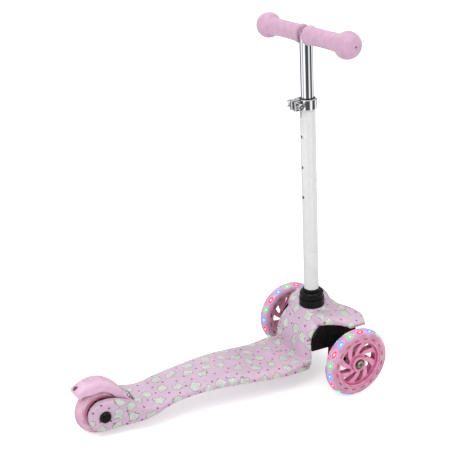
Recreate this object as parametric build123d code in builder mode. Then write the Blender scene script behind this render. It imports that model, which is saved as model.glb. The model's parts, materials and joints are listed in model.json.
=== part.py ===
from build123d import *
from math import cos, radians, sin, tan
import os

os.makedirs("parts", exist_ok=True)

# A child's three-wheeled kick scooter. Millimetres, +X forward, +Y to the rider's left, +Z up.
# The origin is on the floor, under the middle of the whole scooter.

# Overall sizes
wheelbase = 421.0
front_wheel_radius = 60.0
front_wheel_width = 24.0
front_track = 208.0
rear_wheel_radius = 40.0
rear_wheel_width = 22.0
rear_overhang = 43.0
bar_height = 596.0
bar_half_width = 129.0
rake = radians(3.88)

# Fits and gaps
running_fit = 0.05
seat_gap = 0.1
moving_gap = 0.4

# Body shell
wall = 3.2
deck_skirt = 14.5
deck_front_height = 50.0
head_half_width = 56.0
head_top = 127.0
arm_gap_half = 15.5
arm_half_width = 28.6
boss_radius = 25.5
bolt_seat = 23.6
bolt_recess_radius = 9.2
cap_radius = 9.0
arch_start = 46.0
arch_top = 118.0
arch_rear = -54.0
arch_radius = 38.0
nose_height = 66.0
wing_half_span = 84.0
collar_pad_radius = 23.4

# Stem and clamp
stem_lean_x = -21.4
lower_tube_radius = 12.7
lower_tube_wall = 1.2
lower_tube_foot = 78.0
clamp_height = 487.0
clamp_band_height = 14.5
clamp_band_wall = 3.0
upper_tube_radius = 10.5
upper_tube_wall = 1.5
upper_tube_foot = 340.0
liner_length = 52.0
hole_heights = (329.5, 381.4, 433.3)
button_radius = 2.5
button_hole_radius = 3.0
clamp_bolt_radius = 2.5
clamp_bolt_reach = -21.0
lever_pin_radius = 2.0
lever_pin_y = 15.0

# Handlebar and grips
bar_radius = 9.5
bar_wall = 1.5
bar_gap_half = 4.5
grip_radius = 14.0
grip_flange_radius = 16.5
knob_radius = 21.0
grip_end_hole = 3.5

# Front axle and steering
kingpin_y = 70.0
kingpin_tilt = radians(18)
kingpin_radius = 4.0
barrel_radius = 11.0
barrel_half = 9.5
bush_thickness = 3.0
lug_thickness = 5.5
cheek_outer_y = 56.0
steering_arm = 26.0
rod_radius = 3.3
rod_eye_radius = 6.0
axle_radius = 4.0
tie_pin_radius = 2.5
stub_end_y = 88.0

# Wheels
bearing_outer_radius = 9.5
bearing_width = 6.0
hub_half_width = 11.0
hub_wall = 3.2
front_tyre_depth = 17.0
rear_tyre_depth = 13.0
led_count = 18
window_count = 8

# Rear brake
pivot_dx = 47.5
pivot_height = 44.0
hinge_pin_radius = 2.0
fender_half_width = 14.9
fender_toe = 7.0
spring_wire = 0.6
spring_radius = 3.4
spring_turns = 3
spring_pitch = 1.6
spring_pocket = 4.2
fender_wall = 2.4

# Places that follow from them
front_core_radius = front_wheel_radius - front_tyre_depth
rear_core_radius = rear_wheel_radius - rear_tyre_depth
hub_radius = bearing_outer_radius + hub_wall
overall_length = rear_overhang + wheelbase + front_wheel_radius
front_axle_x = overall_length / 2 - front_wheel_radius
rear_axle_x = front_axle_x - wheelbase
wheel_y = front_track / 2
deck_front_x = front_axle_x - 50.0
waist_x = rear_axle_x + 106.0
shoulder_x = front_axle_x - 160.0
knob_y = bar_half_width - knob_radius
deck_end_round = 18.0


def stem_plane(height):
    """The plane across the steering stem where its axis is at the given height."""
    x = front_axle_x + stem_lean_x - tan(rake) * (height - head_top)
    return Plane(origin=(x, 0, height), x_dir=(cos(rake), 0, sin(rake)), z_dir=(-sin(rake), 0, cos(rake)))


def kingpin_plane(side):
    """The plane across a kingpin at the front axle's height; side is 1 on the left."""
    return Plane(
        origin=(front_axle_x, side * kingpin_y, front_wheel_radius),
        x_dir=(cos(kingpin_tilt), 0, -sin(kingpin_tilt)),
        z_dir=(sin(kingpin_tilt), 0, cos(kingpin_tilt)),
    )


def across(x, y, z):
    """A plane whose normal points to the left, with local x forward and local y down."""
    return Plane(origin=(x, y, z), x_dir=(1, 0, 0), z_dir=(0, 1, 0))


def finish(piece, label):
    """Name a piece and write it."""
    piece.part.label = label
    export_step(piece.part, f"parts/{label}.step")


def mid(share):
    """A point between the deck's waist and its shoulder."""
    return waist_x + share * (shoulder_x - waist_x)


def deck_plan(inset):
    """The deck from above: two rear arms, a waist, broad shoulders and a rounded front end."""
    outline = [
        (rear_axle_x - boss_radius - 2, arm_half_width),
        (rear_axle_x + 2, arm_half_width),
        (rear_axle_x + 24, arm_half_width + 1.2),
        (rear_axle_x + 48, 35.5),
        (rear_axle_x + 72, 43.0),
        (waist_x, 42.5),
        (mid(0.48), 47.0),
        (shoulder_x, 55.0),
        (front_axle_x - 110, 57.5),
        (front_axle_x - 80, 56.5),
        (deck_front_x, 55.5),
    ]
    with BuildSketch(Plane.XY) as plan:
        with BuildLine():
            Spline(*[(x, y - inset) for x, y in outline[:-1]], outline[-1][:1] + (outline[-1][1] - inset,))
            Polyline((deck_front_x, outline[-1][1] - inset), (deck_front_x, 0), (outline[0][0], 0))
            Line((outline[0][0], 0), (outline[0][0], arm_half_width - inset))
        make_face()
        front_corner = plan.vertices().sort_by(Axis.X)[-2:].sort_by(Axis.Y)[-1]
        fillet(front_corner, deck_end_round)
        mirror(about=Plane.XZ)
    return plan.sketch


def deck_top():
    """The deck's top line, front to back: it humps in the middle and climbs the rear bosses."""
    return [
        (deck_front_x, deck_front_height),
        (front_axle_x - 85, 50.8),
        (front_axle_x - 130, 52.3),
        (shoulder_x, 55.3),
        (mid(0.77), 58.6),
        (mid(0.45), 58.6),
        (mid(0.2), 56.2),
        (waist_x, 51.0),
        (rear_axle_x + 88, 46.6),
        (rear_axle_x + 70, 46.6),
        (rear_axle_x + 50, 51.0),
        (rear_axle_x + 30, 60.0),
        (rear_axle_x, rear_wheel_radius + boss_radius),
    ]


# Body shell: deck, rear arms and head in one moulding

head_sections = (
    (48.0, -70.0, 46.0, head_half_width, 24.0),
    (68.0, -67.0, 46.0, head_half_width - 0.2, 25.0),
    (88.0, -63.0, 46.0, head_half_width - 1, 26.0),
    (108.0, -54.0, 40.0, head_half_width - 6, 28.0),
    (119.0, -48.0, 31.0, head_half_width - 17, 27.0),
    (head_top, -45.0, 20.0, head_half_width - 31, 23.0),
)


def head_dome(inset, floor):
    """The head: rounded sections that close in towards the stem."""
    with BuildPart() as dome:
        for height, rear, front, half_width, corner in head_sections:
            with BuildSketch(Plane.XY.offset(height - inset)):
                with Locations((front_axle_x + (rear + front) / 2, 0)):
                    RectangleRounded(front - rear - 2 * inset, 2 * (half_width - inset), corner - inset)
        loft()
        with BuildSketch(Plane.XY.offset(head_sections[0][0] - inset)):
            height, rear, front, half_width, corner = head_sections[0]
            with Locations((front_axle_x + (rear + front) / 2, 0)):
                RectangleRounded(front - rear - 2 * inset, 2 * (half_width - inset), corner - inset)
        extrude(amount=floor - (head_sections[0][0] - inset))
    return dome.part


wing_sections = (
    (0.0, -43.0, 22.0, 100.0, 126.6, 12.0),
    (30.0, -42.0, 36.0, 100.0, 126.8, 12.0),
    (54.0, -34.0, 42.0, 102.0, 126.0, 11.0),
    (70.0, -12.0, 39.0, 106.0, 122.5, 7.5),
    (wing_half_span, 0.0, 32.0, 108.0, 118.0, 4.5),
)

with BuildPart() as wing:
    for y, rear, front, low, high, corner in wing_sections:
        with BuildSketch(across(front_axle_x, y, 0)):
            with Locations(((rear + front) / 2, -(low + high) / 2)):
                RectangleRounded(front - rear, high - low, corner)
    loft()

with BuildPart() as arch_cut:
    for y, top in ((arch_start, arch_top), (wing_half_span + 8, arch_top - 8)):
        with BuildSketch(across(front_axle_x, y, 0)) as opening:
            with Locations((arch_rear + 59, -top / 2 + 10)):
                Rectangle(118.0, top + 20)
            fillet(opening.vertices().group_by(Axis.Y)[0], arch_radius)
    loft(ruled=True)

with BuildPart() as deck_cavity:
    with BuildSketch(Plane.XY):
        add(deck_plan(wall))
    extrude(amount=100)
    with BuildSketch(across(0, 0, 0)):
        with BuildLine():
            Spline(*[(x, -(z - wall)) for x, z in deck_top()[:-4]])
            rear_x = deck_top()[-5][0]
            Polyline((rear_x, -(deck_top()[-5][1] - wall)), (rear_x, 10), (deck_front_x - wall, 10))
            Polyline((deck_front_x - wall, 10), (deck_front_x - wall, -40))
            Line((deck_front_x - wall, -40), (deck_front_x, -(deck_front_height - wall)))
        make_face()
    extrude(amount=80, both=True, mode=Mode.INTERSECT)

screw_spots = [(-38.0, 34.0), (-38.0, -34.0), (24.0, 32.0), (24.0, -32.0)]
screw_boss_radius = 5.0
screw_radius = 2.0
screw_head_radius = 3.6
screw_recess = 4.0
housing_top = 100.0

with BuildPart() as deck_shell:
    with BuildSketch(Plane.XY):
        add(deck_plan(0))
    extrude(amount=100)
    with BuildSketch(across(0, 0, 0)):
        with BuildLine():
            Spline(*[(x, -z) for x, z in deck_top()], tangents=((-1, 0), (-1, 0)))
            ThreePointArc(
                (rear_axle_x, -rear_wheel_radius - boss_radius),
                (rear_axle_x - boss_radius, -rear_wheel_radius),
                (rear_axle_x, -rear_wheel_radius + boss_radius),
            )
            Spline(
                (rear_axle_x, -rear_wheel_radius + boss_radius),
                (rear_axle_x + 32, -15.8),
                (rear_axle_x + 62, -22.0),
                (rear_axle_x + 91, -33.0),
                (waist_x + 10, deck_skirt - 53.4),
                (mid(0.2), deck_skirt - 56.2),
                (mid(0.6), deck_skirt - 59.4),
                (shoulder_x, deck_skirt - 55.3),
                (front_axle_x - 110, deck_skirt - 51.5),
                (deck_front_x, deck_skirt - deck_front_height),
                tangents=((1, 0), (1, 0)),
            )
            Line((deck_front_x, deck_skirt - deck_front_height), (deck_front_x, -deck_front_height))
        make_face()
    extrude(amount=80, both=True, mode=Mode.INTERSECT)
    add(head_dome(0, 44.0))
    add(wing.part)
    mirror(wing.part, about=Plane.XZ)
    add(deck_cavity.part, mode=Mode.SUBTRACT)
    add(head_dome(wall, 20.0), mode=Mode.SUBTRACT)
    # The head is open ahead of the deck, up to the nose's lower edge, and at both wheel arches.
    with BuildSketch(Plane.XY):
        with Locations((deck_front_x + 60, 0)):
            Rectangle(120, 2 * head_half_width + 4)
    extrude(amount=nose_height, mode=Mode.SUBTRACT)
    add(arch_cut.part, mode=Mode.SUBTRACT)
    mirror(arch_cut.part, about=Plane.XZ, mode=Mode.SUBTRACT)
    # Flat pad under the collar, square to the stem, and the stem's hole.
    with BuildSketch(stem_plane(head_top + 2.2)):
        Circle(collar_pad_radius)
    extrude(amount=-5)
    with BuildSketch(stem_plane(head_top + 10)):
        Circle(lower_tube_radius + moving_gap)
    extrude(amount=-40, mode=Mode.SUBTRACT)
    # Slot for the rear wheel and the brake, between the arms.
    slot_front = rear_axle_x + pivot_dx + fender_toe + 1
    with BuildSketch(Plane.XY) as slot:
        with Locations((slot_front - 60, 0)):
            Rectangle(120, 2 * arm_gap_half)
        fillet(slot.vertices().group_by(Axis.X)[-1], 1.5)
    extrude(amount=100, mode=Mode.SUBTRACT)
    # Axle hole, counterbored for the bolt's head and nut under the caps.
    with BuildSketch(across(rear_axle_x, -60, rear_wheel_radius)):
        Circle(axle_radius + seat_gap)
    extrude(amount=120, mode=Mode.SUBTRACT)
    for side in (1, -1):
        with BuildSketch(across(rear_axle_x, side * bolt_seat, rear_wheel_radius)):
            Circle(bolt_recess_radius)
        extrude(amount=side * 20, mode=Mode.SUBTRACT)
    # Hinge pin hole for the brake.
    with BuildSketch(across(rear_axle_x + pivot_dx, -22.0, pivot_height)):
        Circle(hinge_pin_radius + running_fit)
    extrude(amount=44.0, mode=Mode.SUBTRACT)
    # Screw bosses that hold the steering housing.
    for dx, y in screw_spots:
        with BuildSketch(Plane.XY.offset(housing_top + seat_gap)):
            with Locations((front_axle_x + dx, y)):
                Circle(screw_boss_radius)
                Circle(screw_radius, mode=Mode.SUBTRACT)
        extrude(amount=15.0 if dx < 0 else 17.0)

# Ribs under the deck, joined to its top and skirt.
rib_spacing = 26.0
rib_wall = 1.8
with BuildPart() as rib_block:
    first = waist_x - 14
    count = int((deck_front_x - 24 - first) / rib_spacing)
    with BuildSketch(Plane.XY):
        for number in range(count + 1):
            with Locations((first + number * rib_spacing, 0)):
                Rectangle(rib_wall, 130)
        with Locations(((first + deck_front_x - 24) / 2, 0)):
            with GridLocations(0, 30, 1, 3):
                Rectangle(count * rib_spacing, rib_wall)
    extrude(amount=100)
    with BuildSketch(across(0, 0, 0)):
        with BuildLine():
            Spline(*[(x, -(z - wall + 0.4)) for x, z in deck_top()[:-4]])
            Spline(*[(x, -(z - deck_skirt + 3.5)) for x, z in deck_top()[:-4]])
            for x, z in (deck_top()[0], deck_top()[-5]):
                Line((x, -(z - wall + 0.4)), (x, -(z - deck_skirt + 3.5)))
        make_face()
    extrude(amount=80, both=True, mode=Mode.INTERSECT)
    with BuildSketch(Plane.XY):
        add(deck_plan(wall - 0.4))
    extrude(amount=100, mode=Mode.INTERSECT)

with BuildPart() as deck_body:
    add(deck_shell.part)
    add(rib_block.part)
finish(deck_body, "deck_shell")

# Steering housing: a tray with a stem socket and two kingpin forks

housing_gap = 0.4
socket_radius = 19.0
cross_bolt_height = 98.0
cross_bolt_radius = 3.0
housing_half_width = 51.5
housing_front = 38.0
housing_rear = -49.0

with BuildPart() as tray_shape:
    add(head_dome(wall + housing_gap, 40.0))
    with BuildSketch(Plane.XY.offset(nose_height + 1)):
        with Locations((front_axle_x + (housing_front + housing_rear) / 2, 0)):
            Rectangle(housing_front - housing_rear, 2 * housing_half_width)
    extrude(amount=housing_top - nose_height - 1, mode=Mode.INTERSECT)

with BuildPart() as tray_hollow:
    add(head_dome(2 * wall + housing_gap, 40.0))
    with BuildSketch(Plane.XY.offset(nose_height + 1 + wall)):
        with Locations((front_axle_x + (housing_front + housing_rear) / 2, 0)):
            Rectangle(housing_front - housing_rear - 2 * wall, 2 * (housing_half_width - wall))
    extrude(amount=housing_top, mode=Mode.INTERSECT)

with BuildPart() as steering_housing:
    add(tray_shape.part)
    add(tray_hollow.part, mode=Mode.SUBTRACT)
    # Stem socket, standing on the tray's floor.
    with BuildSketch(stem_plane(nose_height + 4)):
        Circle(socket_radius)
    extrude(amount=head_top - wall - 3 - nose_height - 4)
    # Cross ribs that stiffen the socket.
    with BuildSketch(Plane.XY.offset(nose_height + 1)):
        with Locations((front_axle_x + (housing_front + housing_rear) / 2, 0)):
            Rectangle(housing_front - housing_rear - 2, 3)
        with Locations((stem_plane(80).origin.X, 0)):
            Rectangle(3, 2 * housing_half_width - 3)
    extrude(amount=22)
    # Screw posts.
    with BuildSketch(Plane.XY.offset(nose_height + 1)):
        with Locations(*[(front_axle_x + dx, y) for dx, y in screw_spots]):
            Circle(screw_boss_radius)
    extrude(amount=housing_top - nose_height - 1)
    for side in (1, -1):
        # Side panel that closes the wheel arch.
        with BuildSketch(across(front_axle_x, side * (arch_start + housing_gap), 0)) as panel:
            with Locations(((arch_rear + housing_front) / 2 + 1, -(arch_top - 1.6 + nose_height + 1) / 2)):
                Rectangle(housing_front - arch_rear - 1, arch_top - 1.6 - nose_height - 1)
            fillet(panel.vertices().group_by(Axis.Y)[0], arch_radius - 1)
        extrude(amount=side * (housing_half_width - arch_start - housing_gap))
        # Cheek that carries the lower lug, and the two lugs of the fork.
        with BuildSketch(Plane.XY.offset(39.0)):
            with Locations((front_axle_x - 3, side * (cheek_outer_y - 5))):
                Rectangle(26, 10)
        extrude(amount=nose_height + 8 - 39.0)
        for low in (barrel_half + bush_thickness, -barrel_half - bush_thickness - lug_thickness):
            with BuildSketch(kingpin_plane(side).offset(low)):
                Circle(barrel_radius)
                with Locations((0, -side * (kingpin_y - cheek_outer_y + 4) / 2)):
                    Rectangle(2 * barrel_radius, kingpin_y - cheek_outer_y + 4)
            extrude(amount=lug_thickness)
    # Bores: stem, cross bolt, screws and kingpins.
    with BuildSketch(stem_plane(lower_tube_foot)):
        Circle(lower_tube_radius + running_fit)
    extrude(amount=80, mode=Mode.SUBTRACT)
    with BuildSketch(across(stem_plane(cross_bolt_height).origin.X, -40, cross_bolt_height)):
        Circle(cross_bolt_radius + seat_gap)
    extrude(amount=80, mode=Mode.SUBTRACT)
    for dx, y in screw_spots:
        with BuildSketch(Plane.XY.offset(nose_height)):
            with Locations((front_axle_x + dx, y)):
                Circle(screw_radius + seat_gap)
        extrude(amount=60, mode=Mode.SUBTRACT)
        with BuildSketch(Plane.XY.offset(nose_height)):
            with Locations((front_axle_x + dx, y)):
                Circle(screw_head_radius + 2 * seat_gap)
        extrude(amount=screw_recess, mode=Mode.SUBTRACT)
    for side in (1, -1):
        with BuildSketch(kingpin_plane(side).offset(-40)):
            Circle(kingpin_radius + running_fit)
        extrude(amount=80, mode=Mode.SUBTRACT)
finish(steering_housing, "steering_housing")

with BuildPart() as housing_screws:
    for dx, y in screw_spots:
        with BuildSketch(Plane.XY.offset(nose_height + screw_recess - 1.8)):
            with Locations((front_axle_x + dx, y)):
                Circle(screw_head_radius)
        extrude(amount=1.8 - seat_gap)
        with BuildSketch(Plane.XY.offset(nose_height + screw_recess - seat_gap)):
            with Locations((front_axle_x + dx, y)):
                Circle(screw_radius - running_fit)
        extrude(amount=housing_top - nose_height + 4)
        with BuildSketch(Plane.XY.offset(nose_height + screw_recess - 1.8)):
            with Locations((front_axle_x + dx, y)):
                SlotCenterToCenter(2.0, 0.9, rotation=0)
                SlotCenterToCenter(2.0, 0.9, rotation=90)
        extrude(amount=1.0, mode=Mode.SUBTRACT)
finish(housing_screws, "housing_screws")

# Stem: lower tube, its cross bolt, collars, liner and clamp

tube_top = clamp_height + clamp_band_height / 2 + 0.8

with BuildPart() as lower_tube:
    with BuildSketch(stem_plane(lower_tube_foot + seat_gap)):
        Circle(lower_tube_radius)
        Circle(lower_tube_radius - lower_tube_wall, mode=Mode.SUBTRACT)
    extrude(amount=(tube_top - lower_tube_foot) / cos(rake))
    # Height holes at the back, slits under the clamp at the back and the front.
    for height in hole_heights:
        spot = stem_plane(height)
        with BuildSketch(Plane(origin=spot.origin, x_dir=(0, 1, 0), z_dir=-spot.x_dir)):
            Circle(button_hole_radius)
        extrude(amount=lower_tube_radius + 2, mode=Mode.SUBTRACT)
    for direction, slit_foot in ((-1, 466.0), (1, 472.5)):
        spot = stem_plane(slit_foot)
        with BuildSketch(Plane(origin=spot.origin, x_dir=(0, 1, 0), z_dir=direction * spot.x_dir)) as slit:
            with Locations((0, 25 * direction)):
                Rectangle(2.6, 50)
        extrude(amount=lower_tube_radius + 2, mode=Mode.SUBTRACT)
    with BuildSketch(across(stem_plane(cross_bolt_height).origin.X, -40, cross_bolt_height)):
        Circle(cross_bolt_radius + seat_gap)
    extrude(amount=80, mode=Mode.SUBTRACT)
finish(lower_tube, "lower_tube")

cross_x = stem_plane(cross_bolt_height).origin.X
with BuildPart() as stem_cross_bolt:
    with BuildSketch(across(cross_x, -socket_radius - 6, cross_bolt_height)):
        Circle(cross_bolt_radius)
    extrude(amount=2 * socket_radius + 7)
    with BuildSketch(across(cross_x, socket_radius + 0.4, cross_bolt_height)):
        RegularPolygon(5.5, 6)
    extrude(amount=4)
finish(stem_cross_bolt, "stem_cross_bolt")

with BuildPart() as stem_cross_nut:
    with BuildSketch(across(cross_x, -socket_radius - 0.4, cross_bolt_height)):
        RegularPolygon(5.8, 6)
        Circle(cross_bolt_radius + running_fit, mode=Mode.SUBTRACT)
    extrude(amount=-5)
finish(stem_cross_nut, "stem_cross_nut")

collar_foot = head_top + 2.3
collar_radius = 22.2
collar_step_radius = 19.2
cap_top_radius = 20.6
collar_height = 13.6
cap_height = 11.4
groove = 0.8
neck_height = 5.6

with BuildPart() as head_collar:
    with BuildSketch(stem_plane(collar_foot)):
        Circle(collar_radius)
    extrude(amount=collar_height, taper=2)
    with BuildSketch(stem_plane(collar_foot)):
        Circle(collar_step_radius)
    extrude(amount=collar_height + groove)
    fillet(head_collar.edges().filter_by(GeomType.CIRCLE).sort_by(lambda e: e.center().Z)[0], 1.0)
    with BuildSketch(stem_plane(collar_foot - 1)):
        Circle(lower_tube_radius + running_fit)
    extrude(amount=30, mode=Mode.SUBTRACT)
finish(head_collar, "head_collar")

with BuildPart() as collar_cap:
    cap_plane = stem_plane(collar_foot).offset(collar_height + groove + running_fit)
    with BuildSketch(cap_plane):
        Circle(cap_top_radius)
    extrude(amount=cap_height)
    fillet(collar_cap.edges().filter_by(GeomType.CIRCLE).sort_by(lambda e: e.center().Z)[-1], 4.0)
    fillet(collar_cap.edges().filter_by(GeomType.CIRCLE).sort_by(lambda e: e.center().Z)[0], 0.8)
    with BuildSketch(cap_plane.offset(cap_height - 1)):
        Circle(lower_tube_radius + 2.0)
    extrude(amount=neck_height + 1)
    fillet(collar_cap.edges().filter_by(GeomType.CIRCLE).sort_by(lambda e: e.center().Z)[-1], 1.0)
    with BuildSketch(cap_plane.offset(-1)):
        Circle(lower_tube_radius + running_fit)
    extrude(amount=40, mode=Mode.SUBTRACT)
finish(collar_cap, "collar_cap")

tube_bore = lower_tube_radius - lower_tube_wall
lip_foot = stem_plane(lower_tube_foot + seat_gap).offset((tube_top - lower_tube_foot) / cos(rake) + seat_gap)
with BuildPart() as tube_liner:
    with BuildSketch(lip_foot):
        Circle(lower_tube_radius)
    extrude(amount=1.4)
    with BuildSketch(lip_foot):
        Circle(tube_bore - running_fit)
    extrude(amount=-liner_length)
    with BuildSketch(lip_foot.offset(-liner_length - 1)):
        Circle(upper_tube_radius + running_fit)
    extrude(amount=liner_length + 10, mode=Mode.SUBTRACT)
finish(tube_liner, "tube_liner")

clamp_low = stem_plane(clamp_height).offset(-clamp_band_height / 2)
band_outer = lower_tube_radius + clamp_band_wall
lug_reach = -28.0
lug_inner = 1.6
lug_outer = 8.4

with BuildPart() as clamp_band:
    with BuildSketch(clamp_low) as band_sketch:
        Circle(band_outer)
        for side in (1, -1):
            with Locations(((lug_reach - lower_tube_radius) / 2, side * (lug_inner + lug_outer) / 2)):
                Rectangle(-lug_reach - lower_tube_radius, lug_outer - lug_inner)
        Circle(lower_tube_radius + running_fit, mode=Mode.SUBTRACT)
        with Locations((lug_reach / 2 - 2, 0)):
            Rectangle(-lug_reach, 2 * lug_inner, mode=Mode.SUBTRACT)
        fillet(band_sketch.vertices().group_by(Axis.X)[0], 2.0)
    extrude(amount=clamp_band_height)
    bolt_spot = stem_plane(clamp_height)
    bolt_plane = Plane(
        origin=bolt_spot.from_local_coords((clamp_bolt_reach, -30, 0)),
        x_dir=bolt_spot.x_dir,
        z_dir=(0, 1, 0),
    )
    with BuildSketch(bolt_plane):
        Circle(clamp_bolt_radius + seat_gap)
    extrude(amount=60, mode=Mode.SUBTRACT)
finish(clamp_band, "clamp_band")

eye_half = 2.3
with BuildPart() as clamp_bolt:
    with BuildSketch(bolt_plane.offset(30 - 16.5)):
        Circle(clamp_bolt_radius)
    extrude(amount=16.5 + lever_pin_y - 2.5)
    with BuildSketch(bolt_spot.offset(-eye_half)):
        with Locations((clamp_bolt_reach, lever_pin_y)):
            Circle(4.2)
    extrude(amount=2 * eye_half)
    with BuildSketch(bolt_spot.offset(-10)):
        with Locations((clamp_bolt_reach, lever_pin_y)):
            Circle(lever_pin_radius + running_fit)
    extrude(amount=20, mode=Mode.SUBTRACT)
finish(clamp_bolt, "clamp_bolt")

with BuildPart() as clamp_nut:
    with BuildSketch(bolt_plane.offset(30 - lug_outer - seat_gap)):
        Circle(5.4)
        Circle(clamp_bolt_radius + running_fit, mode=Mode.SUBTRACT)
    extrude(amount=-7.5)
    fillet(clamp_nut.edges().filter_by(GeomType.CIRCLE).group_by(Axis.Y)[0].sort_by(SortBy.RADIUS)[-1], 1.5)
finish(clamp_nut, "clamp_nut")

# Clamp lever: two cam lobes on the pin and a handle curved round the tube

lobe_radius = 6.0
lever_half = 5.6
handle_inner = 19.6
handle_outer = 23.4
slot_half = eye_half + 0.5

with BuildPart() as clamp_lever:
    with BuildSketch(bolt_spot.offset(-lever_half)) as lever_sketch:
        with BuildLine():
            start_angle = 138.0
            end_angle = 52.0
            CenterArc((0, 0), handle_inner, start_angle, end_angle - start_angle)
            CenterArc((0, 0), handle_outer, start_angle, end_angle - start_angle)
            for angle in (start_angle, end_angle):
                spot = (cos(radians(angle)), sin(radians(angle)))
                Line(
                    (handle_inner * spot[0], handle_inner * spot[1]),
                    (handle_outer * spot[0], handle_outer * spot[1]),
                )
        make_face()
        with Locations((clamp_bolt_reach, lever_pin_y)):
            Circle(lobe_radius)
    extrude(amount=2 * lever_half)
    with BuildSketch(bolt_spot.offset(-slot_half)):
        with Locations((clamp_bolt_reach, lever_pin_y)):
            Circle(lobe_radius + 0.8)
        with Locations((clamp_bolt_reach, lever_pin_y - 6)):
            Rectangle(13, 12)
    extrude(amount=2 * slot_half, mode=Mode.SUBTRACT)
    with BuildSketch(bolt_spot.offset(-10)):
        with Locations((clamp_bolt_reach, lever_pin_y)):
            Circle(lever_pin_radius + running_fit)
    extrude(amount=20, mode=Mode.SUBTRACT)
finish(clamp_lever, "clamp_lever")

with BuildPart() as lever_pin:
    with BuildSketch(bolt_spot.offset(-lever_half - 0.6)):
        with Locations((clamp_bolt_reach, lever_pin_y)):
            Circle(lever_pin_radius)
    extrude(amount=2 * lever_half + 1.2)
finish(lever_pin, "lever_pin")

# Handlebar: the upper tube welded to the crossbar, with its snap button and grips

bar_spot = stem_plane(bar_height)
bar_end = knob_y + 9.0

with BuildPart() as handlebar:
    with BuildSketch(stem_plane(upper_tube_foot)):
        Circle(upper_tube_radius)
    extrude(amount=(bar_height - upper_tube_foot) / cos(rake))
    with BuildSketch(across(bar_spot.origin.X, -bar_end, bar_height)):
        Circle(bar_radius)
    extrude(amount=2 * bar_end)
    with BuildSketch(stem_plane(upper_tube_foot - 1)):
        Circle(upper_tube_radius - upper_tube_wall)
    extrude(amount=bar_height - bar_radius - upper_tube_foot, mode=Mode.SUBTRACT)
    with BuildSketch(across(bar_spot.origin.X, -bar_end - 1, bar_height)):
        Circle(bar_radius - bar_wall)
    extrude(amount=2 * bar_end + 2, mode=Mode.SUBTRACT)
    button_spot = stem_plane(hole_heights[1])
    button_plane = Plane(origin=button_spot.origin, x_dir=(0, 1, 0), z_dir=-button_spot.x_dir)
    with BuildSketch(button_plane):
        Circle(button_radius + running_fit)
    extrude(amount=upper_tube_radius + 2, mode=Mode.SUBTRACT)
finish(handlebar, "handlebar")

# The button stands just inside the lower tube's bore, and carries its own bent spring leaf.
with BuildPart() as snap_button:
    with BuildSketch(button_plane.offset(5.0)):
        Circle(button_radius)
    extrude(amount=tube_bore - 0.3 - 5.0)
    fillet(snap_button.edges().filter_by(GeomType.CIRCLE).sort_by(Axis.X)[0], 1.6)
    with BuildSketch(Plane(origin=button_spot.origin, x_dir=button_spot.x_dir, z_dir=(0, 1, 0)).offset(-2.5)):
        with BuildLine():
            Polyline((-5.2, -3), (-5.2, 17), (-4.6, 19), (4.8, 2), (3.8, 1.6), (-4.2, 16), (-4.2, -3), (-5.2, -3))
        make_face()
    extrude(amount=5.0)
finish(snap_button, "snap_button")


def bar_sketch_plane():
    """Local x along the bar to the left, local y up."""
    return Plane(origin=(bar_spot.origin.X, 0, bar_height), x_dir=(0, 1, 0), z_dir=(1, 0, 0))


def grip(side):
    """A rubber sleeve with an inner flange, a long barrel and a ball end."""
    with BuildPart() as sleeve:
        with BuildSketch(bar_sketch_plane()):
            with BuildLine():
                bore = bar_radius + running_fit
                Polyline(
                    (side * (bar_end + 2), grip_end_hole),
                    (side * (bar_end + 2), bore),
                    (side * bar_gap_half, bore),
                    (side * bar_gap_half, grip_flange_radius),
                    (side * (bar_gap_half + 4), grip_flange_radius),
                    (side * (bar_gap_half + 4), grip_radius),
                    (side * (knob_y - 17), grip_radius - 0.4),
                )
                neck = (side * (knob_y - 17), grip_radius - 0.4)
                rise = (side * (knob_y - 13), 16.5)
                Line(neck, rise)
                end_y = bar_half_width - 0.3
                ThreePointArc(rise, (side * (knob_y + 1), knob_radius), (side * (knob_y + 16), 12.4))
                Line((side * (knob_y + 16), 12.4), (side * end_y, grip_end_hole))
                Line((side * end_y, grip_end_hole), (side * (bar_end + 2), grip_end_hole))
            make_face()
        revolve(axis=Axis((bar_spot.origin.X, 0, bar_height), (0, 1, 0)))
        # The underside is notched round the upright tube.
        with BuildSketch(stem_plane(bar_height - 40)):
            Circle(upper_tube_radius + seat_gap)
        extrude(amount=40 / cos(rake), mode=Mode.SUBTRACT)
    return sleeve


for side, word in ((1, "left"), (-1, "right")):
    finish(grip(side), f"grip_{word}")
    with BuildPart() as bar_plug:
        with BuildSketch(across(bar_spot.origin.X, side * (bar_end - 10), bar_height)):
            Circle(bar_radius - bar_wall - running_fit)
            Circle(bar_radius - bar_wall - 2, mode=Mode.SUBTRACT)
        extrude(amount=side * 10)
        with BuildSketch(across(bar_spot.origin.X, side * (bar_end + seat_gap), bar_height)):
            Circle(bar_radius)
        extrude(amount=side * 1.7)
        with BuildSketch(across(bar_spot.origin.X, side * (bar_end - 1), bar_height)):
            Circle(bar_radius - bar_wall - running_fit)
        extrude(amount=side * 2)
    finish(bar_plug, f"bar_plug_{word}")


# Front wheels: core, tyre, lamp ring, bearings, hub magnet


def wheel_plane(side, distance):
    """A plane across a front wheel, at a distance outboard of the wheel's middle."""
    return across(front_axle_x, side * (wheel_y + distance), front_wheel_radius)


def ring(plane, outer, inner, depth, label):
    """A plain ring written as a piece of its own."""
    with BuildPart() as band:
        with BuildSketch(plane):
            Circle(outer)
            Circle(inner, mode=Mode.SUBTRACT)
        extrude(amount=depth)
    finish(band, label)


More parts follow.
